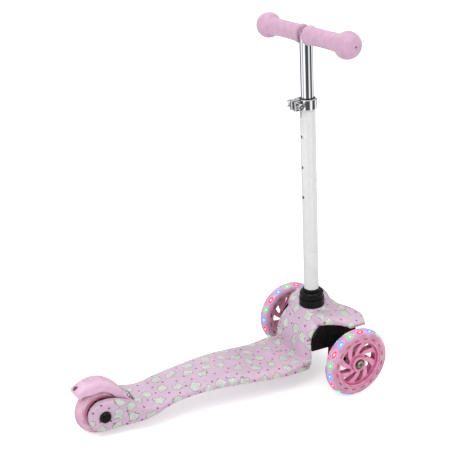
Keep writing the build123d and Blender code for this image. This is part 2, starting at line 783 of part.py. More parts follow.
def swirl_window(inner, outer, spread, lean):
    """One curved window: two arcs about the hub joined by bowed sides."""
    corners = []
    for radius, angle in ((inner, 0), (inner, spread * 0.8), (outer, spread + lean), (outer, lean)):
        corners.append((radius * cos(radians(angle)), radius * sin(radians(angle))))
    with BuildSketch(Plane.XY) as window:
        with BuildLine():
            RadiusArc(corners[0], corners[1], -inner)
            RadiusArc(corners[1], corners[2], -outer * 0.9)
            RadiusArc(corners[2], corners[3], outer)
            RadiusArc(corners[3], corners[0], outer * 0.9)
        make_face()
        fillet(window.vertices(), min(1.6, (outer - inner) / 3))
    return window.sketch


tyre_bulge = 10.0
rim_half_width = 10.0
rim_thickness = 3.5
web_half_width = 5.5
lamp_strip = 1.0
lamp_depth = 3.0
lamp_width = 4.5
lamp_gap = 0.3


def tyre(centre, radius, core_radius, width, groove_depth, label):
    """A crowned tyre with straight lower walls and, where asked, a groove for the lamps."""
    with BuildPart() as rubber:
        with BuildSketch(Plane(origin=centre, x_dir=(0, 1, 0), z_dir=(1, 0, 0))):
            with BuildLine():
                half = width / 2
                shoulder = radius - tyre_bulge
                Polyline((-half + 0.6, core_radius), (-half, core_radius + 1.5), (-half, shoulder))
                ThreePointArc((-half, shoulder), (0, radius), (half, shoulder))
                Polyline((half, shoulder), (half, core_radius + 1.5), (half - 0.6, core_radius))
                Line((half - 0.6, core_radius), (-half + 0.6, core_radius))
            make_face()
            if groove_depth:
                with Locations((0, core_radius + groove_depth / 2)):
                    Rectangle(lamp_width + 2 * lamp_gap, groove_depth, mode=Mode.SUBTRACT)
        revolve(axis=Axis(centre, (0, 1, 0)))
    finish(rubber, label)


def wheel_core(plane, outer, window_range, windows, slots, label):
    """A moulded core: rim, web with windows and hub, bored for its bearings."""
    with BuildPart() as core:
        with BuildSketch(plane.offset(-rim_half_width)):
            Circle(outer)
            Circle(outer - rim_thickness, mode=Mode.SUBTRACT)
        extrude(amount=2 * rim_half_width)
        with BuildSketch(plane.offset(-web_half_width)):
            Circle(outer - rim_thickness / 2)
            with PolarLocations(0, windows):
                add(swirl_window(*window_range), mode=Mode.SUBTRACT)
        extrude(amount=2 * web_half_width)
        with BuildSketch(plane.offset(-hub_half_width)):
            Circle(hub_radius)
        extrude(amount=2 * hub_half_width)
        if slots:
            with BuildSketch(plane.offset(-web_half_width)):
                with PolarLocations(0, windows, start_angle=180 / windows + 6):
                    with Locations(((window_range[0] + window_range[1]) / 2 + 2, 0)):
                        SlotOverall(window_range[1] - window_range[0] - 4, 1.4, rotation=38)
            extrude(amount=2 * web_half_width, mode=Mode.SUBTRACT)
        bearing_seat = hub_half_width - bearing_width - 1
        for face in (-1, 1):
            with BuildSketch(plane.offset(face * bearing_seat)):
                Circle(bearing_outer_radius + running_fit)
            extrude(amount=face * (bearing_width + 2), mode=Mode.SUBTRACT)
        with BuildSketch(plane.offset(-bearing_seat)):
            Circle(bearing_outer_radius - 1.5)
        extrude(amount=2 * bearing_seat, mode=Mode.SUBTRACT)
    finish(core, label)


def bearings(plane, label):
    """The pair of bearings in one hub, each with a shallow race groove on both faces."""
    with BuildPart() as pair:
        for face in (-1, 1):
            with BuildSketch(plane.offset(face * (hub_half_width - bearing_width - 1))):
                Circle(bearing_outer_radius)
                Circle(axle_radius + running_fit, mode=Mode.SUBTRACT)
            extrude(amount=face * bearing_width)
            for shield in (0, bearing_width - 0.4):
                with BuildSketch(plane.offset(face * (hub_half_width - bearing_width - 1 + shield))):
                    Circle(bearing_outer_radius - 1.6)
                    Circle(axle_radius + 1.8, mode=Mode.SUBTRACT)
                extrude(amount=face * 0.4, mode=Mode.SUBTRACT)
    finish(pair, label)


bearing_inner_face = hub_half_width - bearing_width - 1
head_gap = 0.3

for side, word in ((1, "left"), (-1, "right")):
    middle = wheel_plane(side, 0)
    groove_depth = lamp_strip + lamp_depth + lamp_gap
    tyre(middle.origin, front_wheel_radius, front_core_radius + running_fit, front_wheel_width, groove_depth,
         f"front_tyre_{word}")
    front_windows = (hub_radius + 3.8, front_core_radius - rim_thickness - 2.5, 26.0, 30.0)
    wheel_core(middle, front_core_radius, front_windows, window_count, True, f"front_core_{word}")
    bearings(middle, f"front_bearings_{word}")
    ring(middle.offset(-bearing_inner_face), bearing_outer_radius - 2, axle_radius + running_fit,
         2 * bearing_inner_face, f"hub_magnet_{word}")
    with BuildPart() as led_ring:
        with BuildSketch(middle.offset(-lamp_width / 2)):
            Circle(front_core_radius + seat_gap + lamp_strip)
            Circle(front_core_radius + seat_gap, mode=Mode.SUBTRACT)
            with PolarLocations(front_core_radius + lamp_strip + lamp_depth / 2 - 0.1, led_count):
                Rectangle(lamp_depth, 3.4)
        extrude(amount=lamp_width)
    finish(led_ring, f"led_ring_{word}")

    # Knuckle: barrel on the kingpin, stub for the wheel bolt, arm to the tie rod.
    steer = kingpin_plane(side)
    with BuildPart() as knuckle:
        with BuildSketch(steer.offset(-barrel_half)):
            Circle(barrel_radius)
        extrude(amount=2 * barrel_half)
        with BuildSketch(across(front_axle_x, side * kingpin_y, front_wheel_radius)):
            Circle(9.0)
        extrude(amount=side * (stub_end_y - kingpin_y))
        with BuildSketch(steer.offset(-3.5)):
            with Locations((steering_arm / 2, 0)):
                SlotCenterToCenter(steering_arm, 11.0)
        extrude(amount=7.0)
        with BuildSketch(steer.offset(-barrel_half - 1)):
            Circle(kingpin_radius + running_fit)
            with Locations((steering_arm, 0)):
                Circle(tie_pin_radius + running_fit)
        extrude(amount=2 * barrel_half + 2, mode=Mode.SUBTRACT)
        with BuildSketch(across(front_axle_x, side * (stub_end_y + 1), front_wheel_radius)):
            Circle(axle_radius + running_fit)
        extrude(amount=-side * 13.5, mode=Mode.SUBTRACT)
    finish(knuckle, f"knuckle_{word}")

    with BuildPart() as king_pin:
        lug_top = barrel_half + bush_thickness + lug_thickness
        with BuildSketch(steer.offset(-lug_top - 2)):
            Circle(kingpin_radius)
        extrude(amount=2 * lug_top + 2 + 2 * seat_gap)
        with BuildSketch(steer.offset(lug_top + seat_gap)):
            Circle(7.0)
        extrude(amount=3.5)
        fillet(king_pin.edges().filter_by(GeomType.CIRCLE).sort_by(Axis.Z)[-1], 1.5)
        with BuildSketch(steer.offset(-lug_top - seat_gap)):
            Circle(6.0)
        extrude(amount=-2.5)
        with BuildSketch(steer.offset(lug_top + 1.6)):
            RegularPolygon(2.8, 6)
        extrude(amount=3, mode=Mode.SUBTRACT)
    finish(king_pin, f"king_pin_{word}")

    with BuildPart() as bushes:
        for low in (-barrel_half - bush_thickness, barrel_half + moving_gap):
            with BuildSketch(steer.offset(low)):
                Circle(barrel_radius - 1)
                Circle(kingpin_radius + running_fit, mode=Mode.SUBTRACT)
            extrude(amount=bush_thickness - moving_gap)
    finish(bushes, f"centring_bushes_{word}")

    with BuildPart() as wheel_bolt:
        with BuildSketch(wheel_plane(side, hub_half_width - 1 + head_gap)):
            Circle(6.2)
        extrude(amount=side * 4.2)
        fillet(wheel_bolt.edges().filter_by(GeomType.CIRCLE).sort_by(lambda e: side * e.center().Y)[-1], 1.4)
        with BuildSketch(wheel_plane(side, hub_half_width - 1 + head_gap)):
            Circle(axle_radius)
        extrude(amount=-side * (wheel_y + hub_half_width - 1 + head_gap - stub_end_y + 12))
        with BuildSketch(wheel_plane(side, hub_half_width + 1.2 + head_gap)):
            RegularPolygon(2.9, 6)
        extrude(amount=side * 5, mode=Mode.SUBTRACT)
    finish(wheel_bolt, f"wheel_bolt_{word}")

    spacer_depth = wheel_y - hub_half_width + 1 - stub_end_y - head_gap
    ring(across(front_axle_x, side * stub_end_y, front_wheel_radius), 6.5, axle_radius + running_fit,
         side * spacer_depth, f"wheel_spacer_{word}")

    with BuildPart() as tie_pin:
        with BuildSketch(steer.offset(-5.5)):
            with Locations((steering_arm, 0)):
                Circle(tie_pin_radius)
        extrude(amount=19.0)
        with BuildSketch(steer.offset(-6.5)):
            with Locations((steering_arm, 0)):
                Circle(4.2)
        extrude(amount=2.9)
    finish(tie_pin, f"tie_pin_{word}")

# Tie rod: two eyes over the steering arms, joined by a straight bar

eye_low = 3.9
eye_height = 8.0
with BuildPart() as tie_rod:
    for side in (1, -1):
        with BuildSketch(kingpin_plane(side).offset(eye_low)):
            with Locations((steering_arm, 0)):
                Circle(rod_eye_radius)
        extrude(amount=eye_height)
    rod_spot = kingpin_plane(1).offset(eye_low + eye_height / 2).from_local_coords((steering_arm, 0, 0))
    with BuildSketch(across(rod_spot.X, -kingpin_y, rod_spot.Z)):
        Circle(rod_radius)
    extrude(amount=2 * kingpin_y)
    for side in (1, -1):
        with BuildSketch(kingpin_plane(side).offset(eye_low - 1)):
            with Locations((steering_arm, 0)):
                Circle(tie_pin_radius + running_fit)
        extrude(amount=eye_height + 2, mode=Mode.SUBTRACT)
finish(tie_rod, "tie_rod")

# Rear wheel on its bolt between the arms

rear_middle = across(rear_axle_x, 0, rear_wheel_radius)
tyre(rear_middle.origin, rear_wheel_radius, rear_core_radius + running_fit, rear_wheel_width, 0, "rear_tyre")
rear_windows = (hub_radius + 1.8, rear_core_radius - rim_thickness - 2.0, 24.0, 14.0)
wheel_core(rear_middle, rear_core_radius, rear_windows, window_count, False, "rear_core")
bearings(rear_middle, "rear_bearings")
ring(rear_middle.offset(-bearing_inner_face), bearing_outer_radius - 2, axle_radius + running_fit,
     2 * bearing_inner_face, "rear_hub_spacer")

with BuildPart() as rear_spacers:
    for side in (1, -1):
        with BuildSketch(across(rear_axle_x, side * (hub_half_width - 1 + head_gap), rear_wheel_radius)):
            Circle(6.5)
            Circle(axle_radius + running_fit, mode=Mode.SUBTRACT)
        extrude(amount=side * (arm_gap_half - hub_half_width + 1 - head_gap))
finish(rear_spacers, "rear_spacers")

with BuildPart() as rear_axle_bolt:
    with BuildSketch(across(rear_axle_x, -bolt_seat - 4.5, rear_wheel_radius)):
        Circle(axle_radius)
    extrude(amount=2 * bolt_seat + 4.6)
    with BuildSketch(across(rear_axle_x, bolt_seat + seat_gap, rear_wheel_radius)):
        RegularPolygon(7.2, 6)
    extrude(amount=3.6)
finish(rear_axle_bolt, "rear_axle_bolt")

with BuildPart() as rear_axle_nut:
    with BuildSketch(across(rear_axle_x, -bolt_seat - seat_gap, rear_wheel_radius)):
        RegularPolygon(7.2, 6)
        Circle(axle_radius + running_fit, mode=Mode.SUBTRACT)
    extrude(amount=-3.6)
finish(rear_axle_nut, "rear_axle_nut")

for side, word in ((1, "left"), (-1, "right")):
    with BuildPart() as axle_cap:
        with BuildSketch(across(rear_axle_x, side * (arm_half_width - 0.2), rear_wheel_radius)):
            Circle(cap_radius)
        extrude(amount=side * 5.4)
        fillet(axle_cap.edges().filter_by(GeomType.CIRCLE).sort_by(lambda e: side * e.center().Y)[-1], 4.4)
    finish(axle_cap, f"axle_cap_{word}")

# Rear brake: a hooded lever on a pin, with a steel shoe under it and a return spring


def from_rear_axle(points):
    """Side-view points given from the rear axle, as local points of a plane that looks left."""
    return [(rear_axle_x + dx, -(rear_wheel_radius + dz)) for dx, dz in points]


fender_tip = (-rear_overhang, 42.5)
fender_toe_end = (pivot_dx + fender_toe, 5.5)
fender_top = from_rear_axle(
    [fender_tip, (-32, 50.8), (-18, 56.6), (0, 56.6), (13, 51.6), (26, 41.4), (36, 29.5), (46, 16.5), fender_toe_end]
)
fender_edge = from_rear_axle(
    [fender_toe_end, (48, -0.5), (36, 2.0), (26, 17.0), (14, 31.0), (0, 37.2), (-22, 37.0), (-36, 36.4), fender_tip]
)
fender_hollow = from_rear_axle([(-33, 44.6), (-17, 53.2), (0, 53.2), (11.5, 48.6), (24, 38.8), (34, 27.2)])

# Seats of the hood's screws: one at its tip and two at its toe.
screw_head = 3.4
screw_shank = 1.5
tip_plane = Plane(
    origin=(rear_axle_x - 36.0, 0, rear_wheel_radius + 46.4), x_dir=(0, 1, 0), z_dir=(-0.57, 0, 0.82)
)
toe_planes = [
    Plane(
        origin=(rear_axle_x + pivot_dx + 0.5, y, rear_wheel_radius + 12.6), x_dir=(0, 1, 0), z_dir=(0.79, 0, 0.61)
    )
    for y in (-8.0, 8.0)
]
hood_screws = ((tip_plane, 5.0), (toe_planes[0], 3.0), (toe_planes[1], 3.0))

with BuildPart() as brake_fender:
    with BuildSketch(across(0, -fender_half_width, 0)):
        with BuildLine():
            Spline(*fender_top, tangents=((0.5, -1), (0.35, 1)))
            Spline(*fender_edge, tangents=((-1, -0.1), (-0.8, -1)))
        make_face()
    extrude(amount=2 * fender_half_width)
    with BuildSketch(across(0, -fender_half_width + fender_wall, 0)):
        with BuildLine():
            Spline(*fender_hollow)
            Polyline(fender_hollow[-1], (fender_hollow[-1][0], 0), (fender_hollow[0][0], 0), fender_hollow[0])
        make_face()
        with Locations(from_rear_axle([(0, 0)])[0]):
            Circle(rear_wheel_radius + 1.8)
    extrude(amount=2 * (fender_half_width - fender_wall), mode=Mode.SUBTRACT)
    with BuildSketch(across(rear_axle_x + pivot_dx, -30, pivot_height)):
        Circle(hinge_pin_radius + running_fit)
    extrude(amount=60, mode=Mode.SUBTRACT)
    # Pocket for the return spring, and recesses and holes for the screws.
    with BuildSketch(across(rear_axle_x + pivot_dx, -spring_pocket, pivot_height)):
        Circle(spring_radius + spring_wire + 1.0)
    extrude(amount=2 * spring_pocket, mode=Mode.SUBTRACT)
    for spot, depth in hood_screws:
        with BuildSketch(spot):
            SlotCenterToCenter(2.4, 2 * screw_head + 1.2, rotation=90)
        extrude(amount=8, mode=Mode.SUBTRACT)
        with BuildSketch(spot):
            Circle(screw_shank + running_fit)
        extrude(amount=-depth - 2, mode=Mode.SUBTRACT)
finish(brake_fender, "brake_fender")

with BuildPart() as brake_hinge_pin:
    with BuildSketch(across(rear_axle_x + pivot_dx, -21.5, pivot_height)):
        Circle(hinge_pin_radius)
    extrude(amount=43.0)
finish(brake_hinge_pin, "brake_hinge_pin")

# Steel shoe under the hood: it follows the tyre and is held by a screw at each end.
shoe_thickness = 1.4
shoe_radius = rear_wheel_radius + 4.4
shoe_half_width = 10.0
shoe_start = 64.0
shoe_end = 112.0

with BuildPart() as brake_shoe:
    with BuildSketch(across(0, -shoe_half_width, 0)):
        with BuildLine():
            for radius in (shoe_radius, shoe_radius + shoe_thickness):
                points = [
                    (radius * cos(radians(angle)), radius * sin(radians(angle)))
                    for angle in (shoe_start, (shoe_start + shoe_end) / 2, shoe_end)
                ]
                ThreePointArc(*from_rear_axle(points))
            for angle in (shoe_start, shoe_end):
                points = [
                    (radius * cos(radians(angle)), radius * sin(radians(angle)))
                    for radius in (shoe_radius, shoe_radius + shoe_thickness)
                ]
                Line(*from_rear_axle(points))
        make_face()
    extrude(amount=2 * shoe_half_width)
finish(brake_shoe, "brake_shoe")

# The hood's screws, with cross recesses.
with BuildPart() as brake_screws:
    for spot, depth in hood_screws:
        with BuildSketch(spot.offset(running_fit)):
            Circle(screw_head)
        extrude(amount=1.7)
        with BuildSketch(spot.offset(running_fit + 1.0)):
            SlotOverall(3.6, 0.8)
            SlotOverall(3.6, 0.8, rotation=90)
        extrude(amount=1.0, mode=Mode.SUBTRACT)
        with BuildSketch(spot.offset(running_fit)):
            Circle(screw_shank)
        extrude(amount=-depth)
finish(brake_screws, "brake_screws")

with BuildPart() as brake_spring:
    with BuildLine():
        coil = Helix(
            spring_pitch,
            spring_turns * spring_pitch,
            spring_radius,
            center=(rear_axle_x + pivot_dx, -spring_turns * spring_pitch / 2, pivot_height),
            direction=(0, 1, 0),
        )
    with BuildSketch(Plane(origin=coil @ 0, z_dir=coil % 0)):
        Circle(spring_wire)
    sweep(path=coil, is_frenet=True)
finish(brake_spring, "brake_spring")
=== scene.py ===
import json
import math

import bmesh
import bpy
import numpy as np
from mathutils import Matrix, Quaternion, Vector
from mathutils.bvhtree import BVHTree


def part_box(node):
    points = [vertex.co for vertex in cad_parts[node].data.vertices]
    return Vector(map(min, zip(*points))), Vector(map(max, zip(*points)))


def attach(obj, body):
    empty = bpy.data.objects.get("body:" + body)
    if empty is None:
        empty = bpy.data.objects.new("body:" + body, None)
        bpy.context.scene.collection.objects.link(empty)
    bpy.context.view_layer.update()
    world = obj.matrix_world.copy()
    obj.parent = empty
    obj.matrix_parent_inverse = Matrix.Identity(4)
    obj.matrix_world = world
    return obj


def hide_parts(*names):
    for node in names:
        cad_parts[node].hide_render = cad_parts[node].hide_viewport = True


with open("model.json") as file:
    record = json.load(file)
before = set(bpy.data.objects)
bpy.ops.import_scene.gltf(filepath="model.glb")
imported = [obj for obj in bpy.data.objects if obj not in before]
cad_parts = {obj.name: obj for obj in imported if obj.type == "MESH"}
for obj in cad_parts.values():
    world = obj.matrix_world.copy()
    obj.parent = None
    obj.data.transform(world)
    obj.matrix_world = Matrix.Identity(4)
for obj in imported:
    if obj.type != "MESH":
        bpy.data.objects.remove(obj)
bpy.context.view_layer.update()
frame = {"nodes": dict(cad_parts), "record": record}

sides = (("left", 1), ("right", -1))


# Shader building blocks

def makeGroup(name, inputs, outputs):
    group = bpy.data.node_groups.new(name, "ShaderNodeTree")
    for label, kind, value in inputs:
        socket = group.interface.new_socket(name=label, in_out="INPUT", socket_type=kind)
        socket.default_value = value
    for label, kind in outputs:
        group.interface.new_socket(name=label, in_out="OUTPUT", socket_type=kind)
    return group, group.nodes.new("NodeGroupInput"), group.nodes.new("NodeGroupOutput")


def plug(tree, value, socket):
    if isinstance(value, bpy.types.NodeSocket):
        tree.links.new(value, socket)
    else:
        socket.default_value = value


def addNode(tree, kind, **values):
    node = tree.nodes.new(kind)
    for label, value in values.items():
        plug(tree, value, node.inputs[label.replace("_", " ")])
    return node


def math2(tree, operation, a, b=0.0, clamp=False):
    node = tree.nodes.new("ShaderNodeMath")
    node.operation = operation
    node.use_clamp = clamp
    plug(tree, a, node.inputs[0])
    plug(tree, b, node.inputs[1])
    return node.outputs[0]


def fade(tree, value, start, end, low=0.0, high=1.0):
    node = addNode(tree, "ShaderNodeMapRange", Value=value, From_Min=start, From_Max=end, To_Min=low, To_Max=high)
    node.interpolation_type = "SMOOTHSTEP"
    return node.outputs["Result"]


def noise(tree, vector, scale, detail=2.0, colour=False):
    node = addNode(tree, "ShaderNodeTexNoise", Vector=vector, Scale=scale, Detail=detail)
    return node.outputs["Color" if colour else "Fac"]


def mixColour(tree, factor, a, b):
    node = tree.nodes.new("ShaderNodeMix")
    node.data_type = "RGBA"
    plug(tree, factor, node.inputs[0])
    plug(tree, a, node.inputs[6])
    plug(tree, b, node.inputs[7])
    return node.outputs[2]


def splitAxes(tree, vector):
    return addNode(tree, "ShaderNodeSeparateXYZ", Vector=vector).outputs


def uvAxes(tree, name):
    node = tree.nodes.new("ShaderNodeUVMap")
    node.uv_map = name
    return splitAxes(tree, node.outputs[0])


def rootOfSquares(tree, parts):
    squares = [math2(tree, "MULTIPLY", part, part) for part in parts]
    return math2(tree, "SQRT", math2(tree, "ADD", *squares))


def buildGrain():
    # Fine moulded or cast texture, with a slow waviness under it.
    group, enter, leave = makeGroup(
        "surfaceGrain",
        [("Vector", "NodeSocketVector", (0, 0, 0)), ("Scale", "NodeSocketFloat", 900.0),
         ("Waviness", "NodeSocketFloat", 0.3)],
        [("Height", "NodeSocketFloat"), ("Shade", "NodeSocketFloat")],
    )
    fine = noise(group, enter.outputs["Vector"], enter.outputs["Scale"], 3.0)
    slow = noise(group, enter.outputs["Vector"], math2(group, "MULTIPLY", enter.outputs["Scale"], 0.06), 1.0)
    height = math2(group, "ADD", fine, math2(group, "MULTIPLY", slow, enter.outputs["Waviness"]))
    group.links.new(height, leave.inputs["Height"])
    group.links.new(slow, leave.inputs["Shade"])
    return group


def buildEdgeWear():
    # Where convex edges have been rubbed.
    group, enter, leave = makeGroup(
        "edgeWear",
        [("Vector", "NodeSocketVector", (0, 0, 0)), ("Start", "NodeSocketFloat", 0.53),
         ("Grain Scale", "NodeSocketFloat", 300.0)],
        [("Mask", "NodeSocketFloat")],
    )
    geometry = group.nodes.new("ShaderNodeNewGeometry")
    rubbed = fade(group, geometry.outputs["Pointiness"], enter.outputs["Start"], 0.62)
    broken = fade(group, noise(group, enter.outputs["Vector"], enter.outputs["Grain Scale"], 4.0), 0.42, 0.62)
    group.links.new(math2(group, "MULTIPLY", rubbed, broken), leave.inputs["Mask"])
    return group


def buildDust():
    # A light film on faces that look up, in soft patches.
    group, enter, leave = makeGroup(
        "dustFilm",
        [("Vector", "NodeSocketVector", (0, 0, 0)), ("Amount", "NodeSocketFloat", 0.1)],
        [("Mask", "NodeSocketFloat")],
    )
    geometry = group.nodes.new("ShaderNodeNewGeometry")
    upward = fade(group, splitAxes(group, geometry.outputs["Normal"])["Z"], 0.2, 0.95)
    patches = fade(group, noise(group, enter.outputs["Vector"], 35.0, 5.0), 0.4, 0.75)
    film = math2(group, "MULTIPLY", upward, patches)
    group.links.new(math2(group, "MULTIPLY", film, enter.outputs["Amount"]), leave.inputs["Mask"])
    return group


def buildRecess():
    # How far a spot lies down in a slot or window, from the surfaces around it: an occlusion mask, used to paint
    # shade into the recesses of moulded parts and tyres, and to place tarnish in the hollows of metal parts.
    group, enter, leave = makeGroup(
        "recessShadeAndTarnishDepth",
        [("Reach", "NodeSocketFloat", 0.012)],
        [("Mask", "NodeSocketFloat")],
    )
    cover = group.nodes.new("ShaderNodeAmbientOcclusion")
    cover.samples = 8
    group.links.new(enter.outputs["Reach"], cover.inputs["Distance"])
    group.links.new(fade(group, cover.outputs["AO"], 0.25, 0.85, 1.0, 0.0), leave.inputs["Mask"])
    return group


grainGroup = buildGrain()
wearGroup = buildEdgeWear()
dustGroup = buildDust()
recessShadeAndTarnishGroup = buildRecess()


def useGroup(tree, group, **values):
    node = tree.nodes.new("ShaderNodeGroup")
    node.node_tree = group
    for label, value in values.items():
        plug(tree, value, node.inputs[label.replace("_", " ")])
    return node.outputs


def startMaterial(name):
    material = bpy.data.materials.new(name)
    material.use_nodes = True
    tree = material.node_tree
    shader = tree.nodes["Principled BSDF"]
    place = tree.nodes.new("ShaderNodeTexCoord").outputs["Object"]
    return material, tree, shader, place


def addBump(tree, shader, height, distance):
    bump = addNode(tree, "ShaderNodeBump", Distance=distance, Height=height)
    tree.links.new(bump.outputs["Normal"], shader.inputs["Normal"])


def setSockets(shader, values):
    for label, value in values.items():
        shader.inputs[label].default_value = value


def moulded(name, look):
    # Moulded plastic or rubber: grain, slow colour drift, rubbed edges, painted shade in recesses, dust.
    material, tree, shader, place = startMaterial(name)
    grain = useGroup(tree, grainGroup, Vector=place, Scale=look["grainScale"], Waviness=look.get("waviness", 0.3))
    colour = mixColour(tree, fade(tree, grain["Shade"], 0.3, 0.7), look["colour"], look["drift"])
    # Painted shade: recesses are mixed towards a darker colour by an occlusion mask.
    if "recessShade" in look:
        recessShadeAndTarnish = useGroup(tree, recessShadeAndTarnishGroup, Reach=look.get("reach", 0.012))
        colour = mixColour(tree, recessShadeAndTarnish["Mask"], colour, look["recessShade"])
    wear = useGroup(tree, wearGroup, Vector=place, Start=look.get("wearStart", 0.54), Grain_Scale=260.0)
    colour = mixColour(tree, math2(tree, "MULTIPLY", wear["Mask"], look.get("wear", 0.3)), colour, look["worn"])
    dust = useGroup(tree, dustGroup, Vector=place, Amount=look.get("dust", 0.08))
    colour = mixColour(tree, dust["Mask"], colour, (0.78, 0.76, 0.74, 1))
    tree.links.new(colour, shader.inputs["Base Color"])
    rough = fade(tree, grain["Shade"], 0.25, 0.75, look["roughness"] - 0.05, look["roughness"] + 0.06)
    rough = math2(tree, "ADD", rough, math2(tree, "MULTIPLY", dust["Mask"], 0.5), clamp=True)
    tree.links.new(rough, shader.inputs["Roughness"])
    addBump(tree, shader, grain["Height"], look["grainDepth"])
    setSockets(shader, look.get("sockets", {}))
    return material


def metallic(name, look):
    # Plated or bare metal: fine scratches or brushing in roughness and bump, and a tarnish that follows the recesses.
    material, tree, shader, place = startMaterial(name)
    mapping = addNode(tree, "ShaderNodeMapping", Vector=place, Scale=look.get("stretch", (1, 1, 1)))
    grain = useGroup(tree, grainGroup, Vector=mapping.outputs["Vector"], Scale=look["grainScale"], Waviness=0.15)
    smudge = fade(tree, noise(tree, place, 70.0, 4.0), 0.45, 0.75)
    recessShadeAndTarnish = useGroup(tree, recessShadeAndTarnishGroup, Reach=0.004)
    colour = mixColour(tree, math2(tree, "MULTIPLY", recessShadeAndTarnish["Mask"], look["tarnish"]), look["colour"], look["dull"])
    tree.links.new(colour, shader.inputs["Base Color"])
    rough = math2(tree, "ADD", look["roughness"], math2(tree, "MULTIPLY", smudge, look["smudge"]))
    tree.links.new(rough, shader.inputs["Roughness"])
    addBump(tree, shader, grain["Height"], look["grainDepth"])
    shader.inputs["Metallic"].default_value = 1.0
    return material


def paintedTube(name, look):
    # Powder coat: faint orange peel and small chips along the edges of its holes.
    material, tree, shader, place = startMaterial(name)
    grain = useGroup(tree, grainGroup, Vector=place, Scale=look["peelScale"], Waviness=0.6)
    wear = useGroup(tree, wearGroup, Vector=place, Start=0.60, Grain_Scale=420.0)
    colour = mixColour(tree, fade(tree, grain["Shade"], 0.3, 0.7), look["colour"], look["drift"])
    colour = mixColour(tree, math2(tree, "MULTIPLY", wear["Mask"], 0.15), colour, look["chip"])
    tree.links.new(colour, shader.inputs["Base Color"])
    tree.links.new(fade(tree, grain["Shade"], 0.2, 0.8, 0.2, 0.3), shader.inputs["Roughness"])
    addBump(tree, shader, grain["Height"], look["peelDepth"])
    setSockets(shader, {"Coat Weight": 0.4, "Coat Roughness": 0.08})
    return material


# The shell's print: each face knows its nearest motif, in that motif's own flat coordinates

printLook = {
    "ground": (0.53, 0.375, 0.50, 1),
    "groundDrift": (0.58, 0.40, 0.52, 1),
    "fill": (0.46, 0.47, 0.445, 1),
    "fillLight": (0.54, 0.55, 0.52, 1),
    "outline": (0.20, 0.18, 0.17, 1),
    "dot": (0.22, 0.085, 0.15, 1),
    "faint": (0.40, 0.36, 0.37, 1),
    "unit": 0.02,          # metres in one unit of a motif's coordinates
    "blobRadius": 0.49,
    "blobStretch": 1.22,
    "blobWobble": 0.62,
    "outlineScale": 2.3,
    "softness": 0.012,
    "layerGap": 40.0,
    "lineWidth": 0.05,
    "dotRadius": 0.105,
    "faintRadius": 0.16,
}


def printedShell(name, look):
    material, tree, shader, place = startMaterial(name)
    spot, kindAxes = uvAxes(tree, "motifSpot"), uvAxes(tree, "motifKind")
    kind, seed = kindAxes["X"], kindAxes["Y"]
    # The seed lifts each motif to its own layer of the noise, so that no two have one outline.
    layer = math2(tree, "MULTIPLY", seed, look["layerGap"])
    layered = addNode(tree, "ShaderNodeCombineXYZ", X=spot["X"], Y=spot["Y"], Z=layer)
    warp = splitAxes(tree, noise(tree, layered.outputs[0], look["outlineScale"], 1.0, colour=True))

    def length(stretch, wobble):
        parts = []
        for axis, share in (("X", 1.0), ("Y", stretch)):
            moved = math2(tree, "MULTIPLY", math2(tree, "SUBTRACT", warp[axis], 0.5), wobble)
            parts.append(math2(tree, "MULTIPLY", math2(tree, "ADD", spot[axis], moved), share))
        return rootOfSquares(tree, parts)

    def isKind(number):
        near = math2(tree, "ABSOLUTE", math2(tree, "SUBTRACT", kind, float(number)))
        return math2(tree, "LESS_THAN", near, 0.25)

    def filled(reach, radius, number):
        inside = fade(tree, reach, radius - look["softness"], radius + look["softness"], 1.0, 0.0)
        return math2(tree, "MULTIPLY", inside, isKind(number))

    blob = length(look["blobStretch"], look["blobWobble"])
    blobOuter = filled(blob, look["blobRadius"], 1)
    blobInner = filled(blob, look["blobRadius"] - look["lineWidth"], 1)
    dot = filled(length(1.15, 0.12), look["dotRadius"], 2)
    ring = math2(tree, "ABSOLUTE", math2(tree, "SUBTRACT", length(1.1, 0.3), look["faintRadius"]))
    faint = math2(tree, "MULTIPLY", fade(tree, ring, 0.015, 0.04, 1.0, 0.0), isKind(3))

    grain = useGroup(tree, grainGroup, Vector=place, Scale=1400.0, Waviness=0.5)
    drift = fade(tree, noise(tree, place, 9.0, 1.0), 0.35, 0.65)
    colour = mixColour(tree, drift, look["ground"], look["groundDrift"])
    colour = mixColour(tree, faint, colour, look["faint"])
    colour = mixColour(tree, dot, colour, look["dot"])
    colour = mixColour(tree, blobOuter, colour, look["outline"])
    tinted = mixColour(tree, fade(tree, warp["Z"], 0.35, 0.65), look["fill"], look["fillLight"])
    colour = mixColour(tree, blobInner, colour, tinted)
    wear = useGroup(tree, wearGroup, Vector=place, Start=0.55, Grain_Scale=240.0)
    colour = mixColour(tree, math2(tree, "MULTIPLY", wear["Mask"], 0.25), colour, (0.86, 0.78, 0.84, 1))
    dust = useGroup(tree, dustGroup, Vector=place, Amount=0.10)
    colour = mixColour(tree, dust["Mask"], colour, (0.78, 0.76, 0.76, 1))
    tree.links.new(colour, shader.inputs["Base Color"])
    rough = math2(tree, "ADD", fade(tree, grain["Shade"], 0.2, 0.8, 0.30, 0.40),
                  math2(tree, "MULTIPLY", dust["Mask"], 0.6))
    tree.links.new(rough, shader.inputs["Roughness"])
    addBump(tree, shader, grain["Height"], 0.00004)
    setSockets(shader, {"Coat Weight": 0.25, "Coat Roughness": 0.18})
    return material


# Tyres: tinted clear rubber; the lamps' light spreading in it is painted onto the tread as a glow

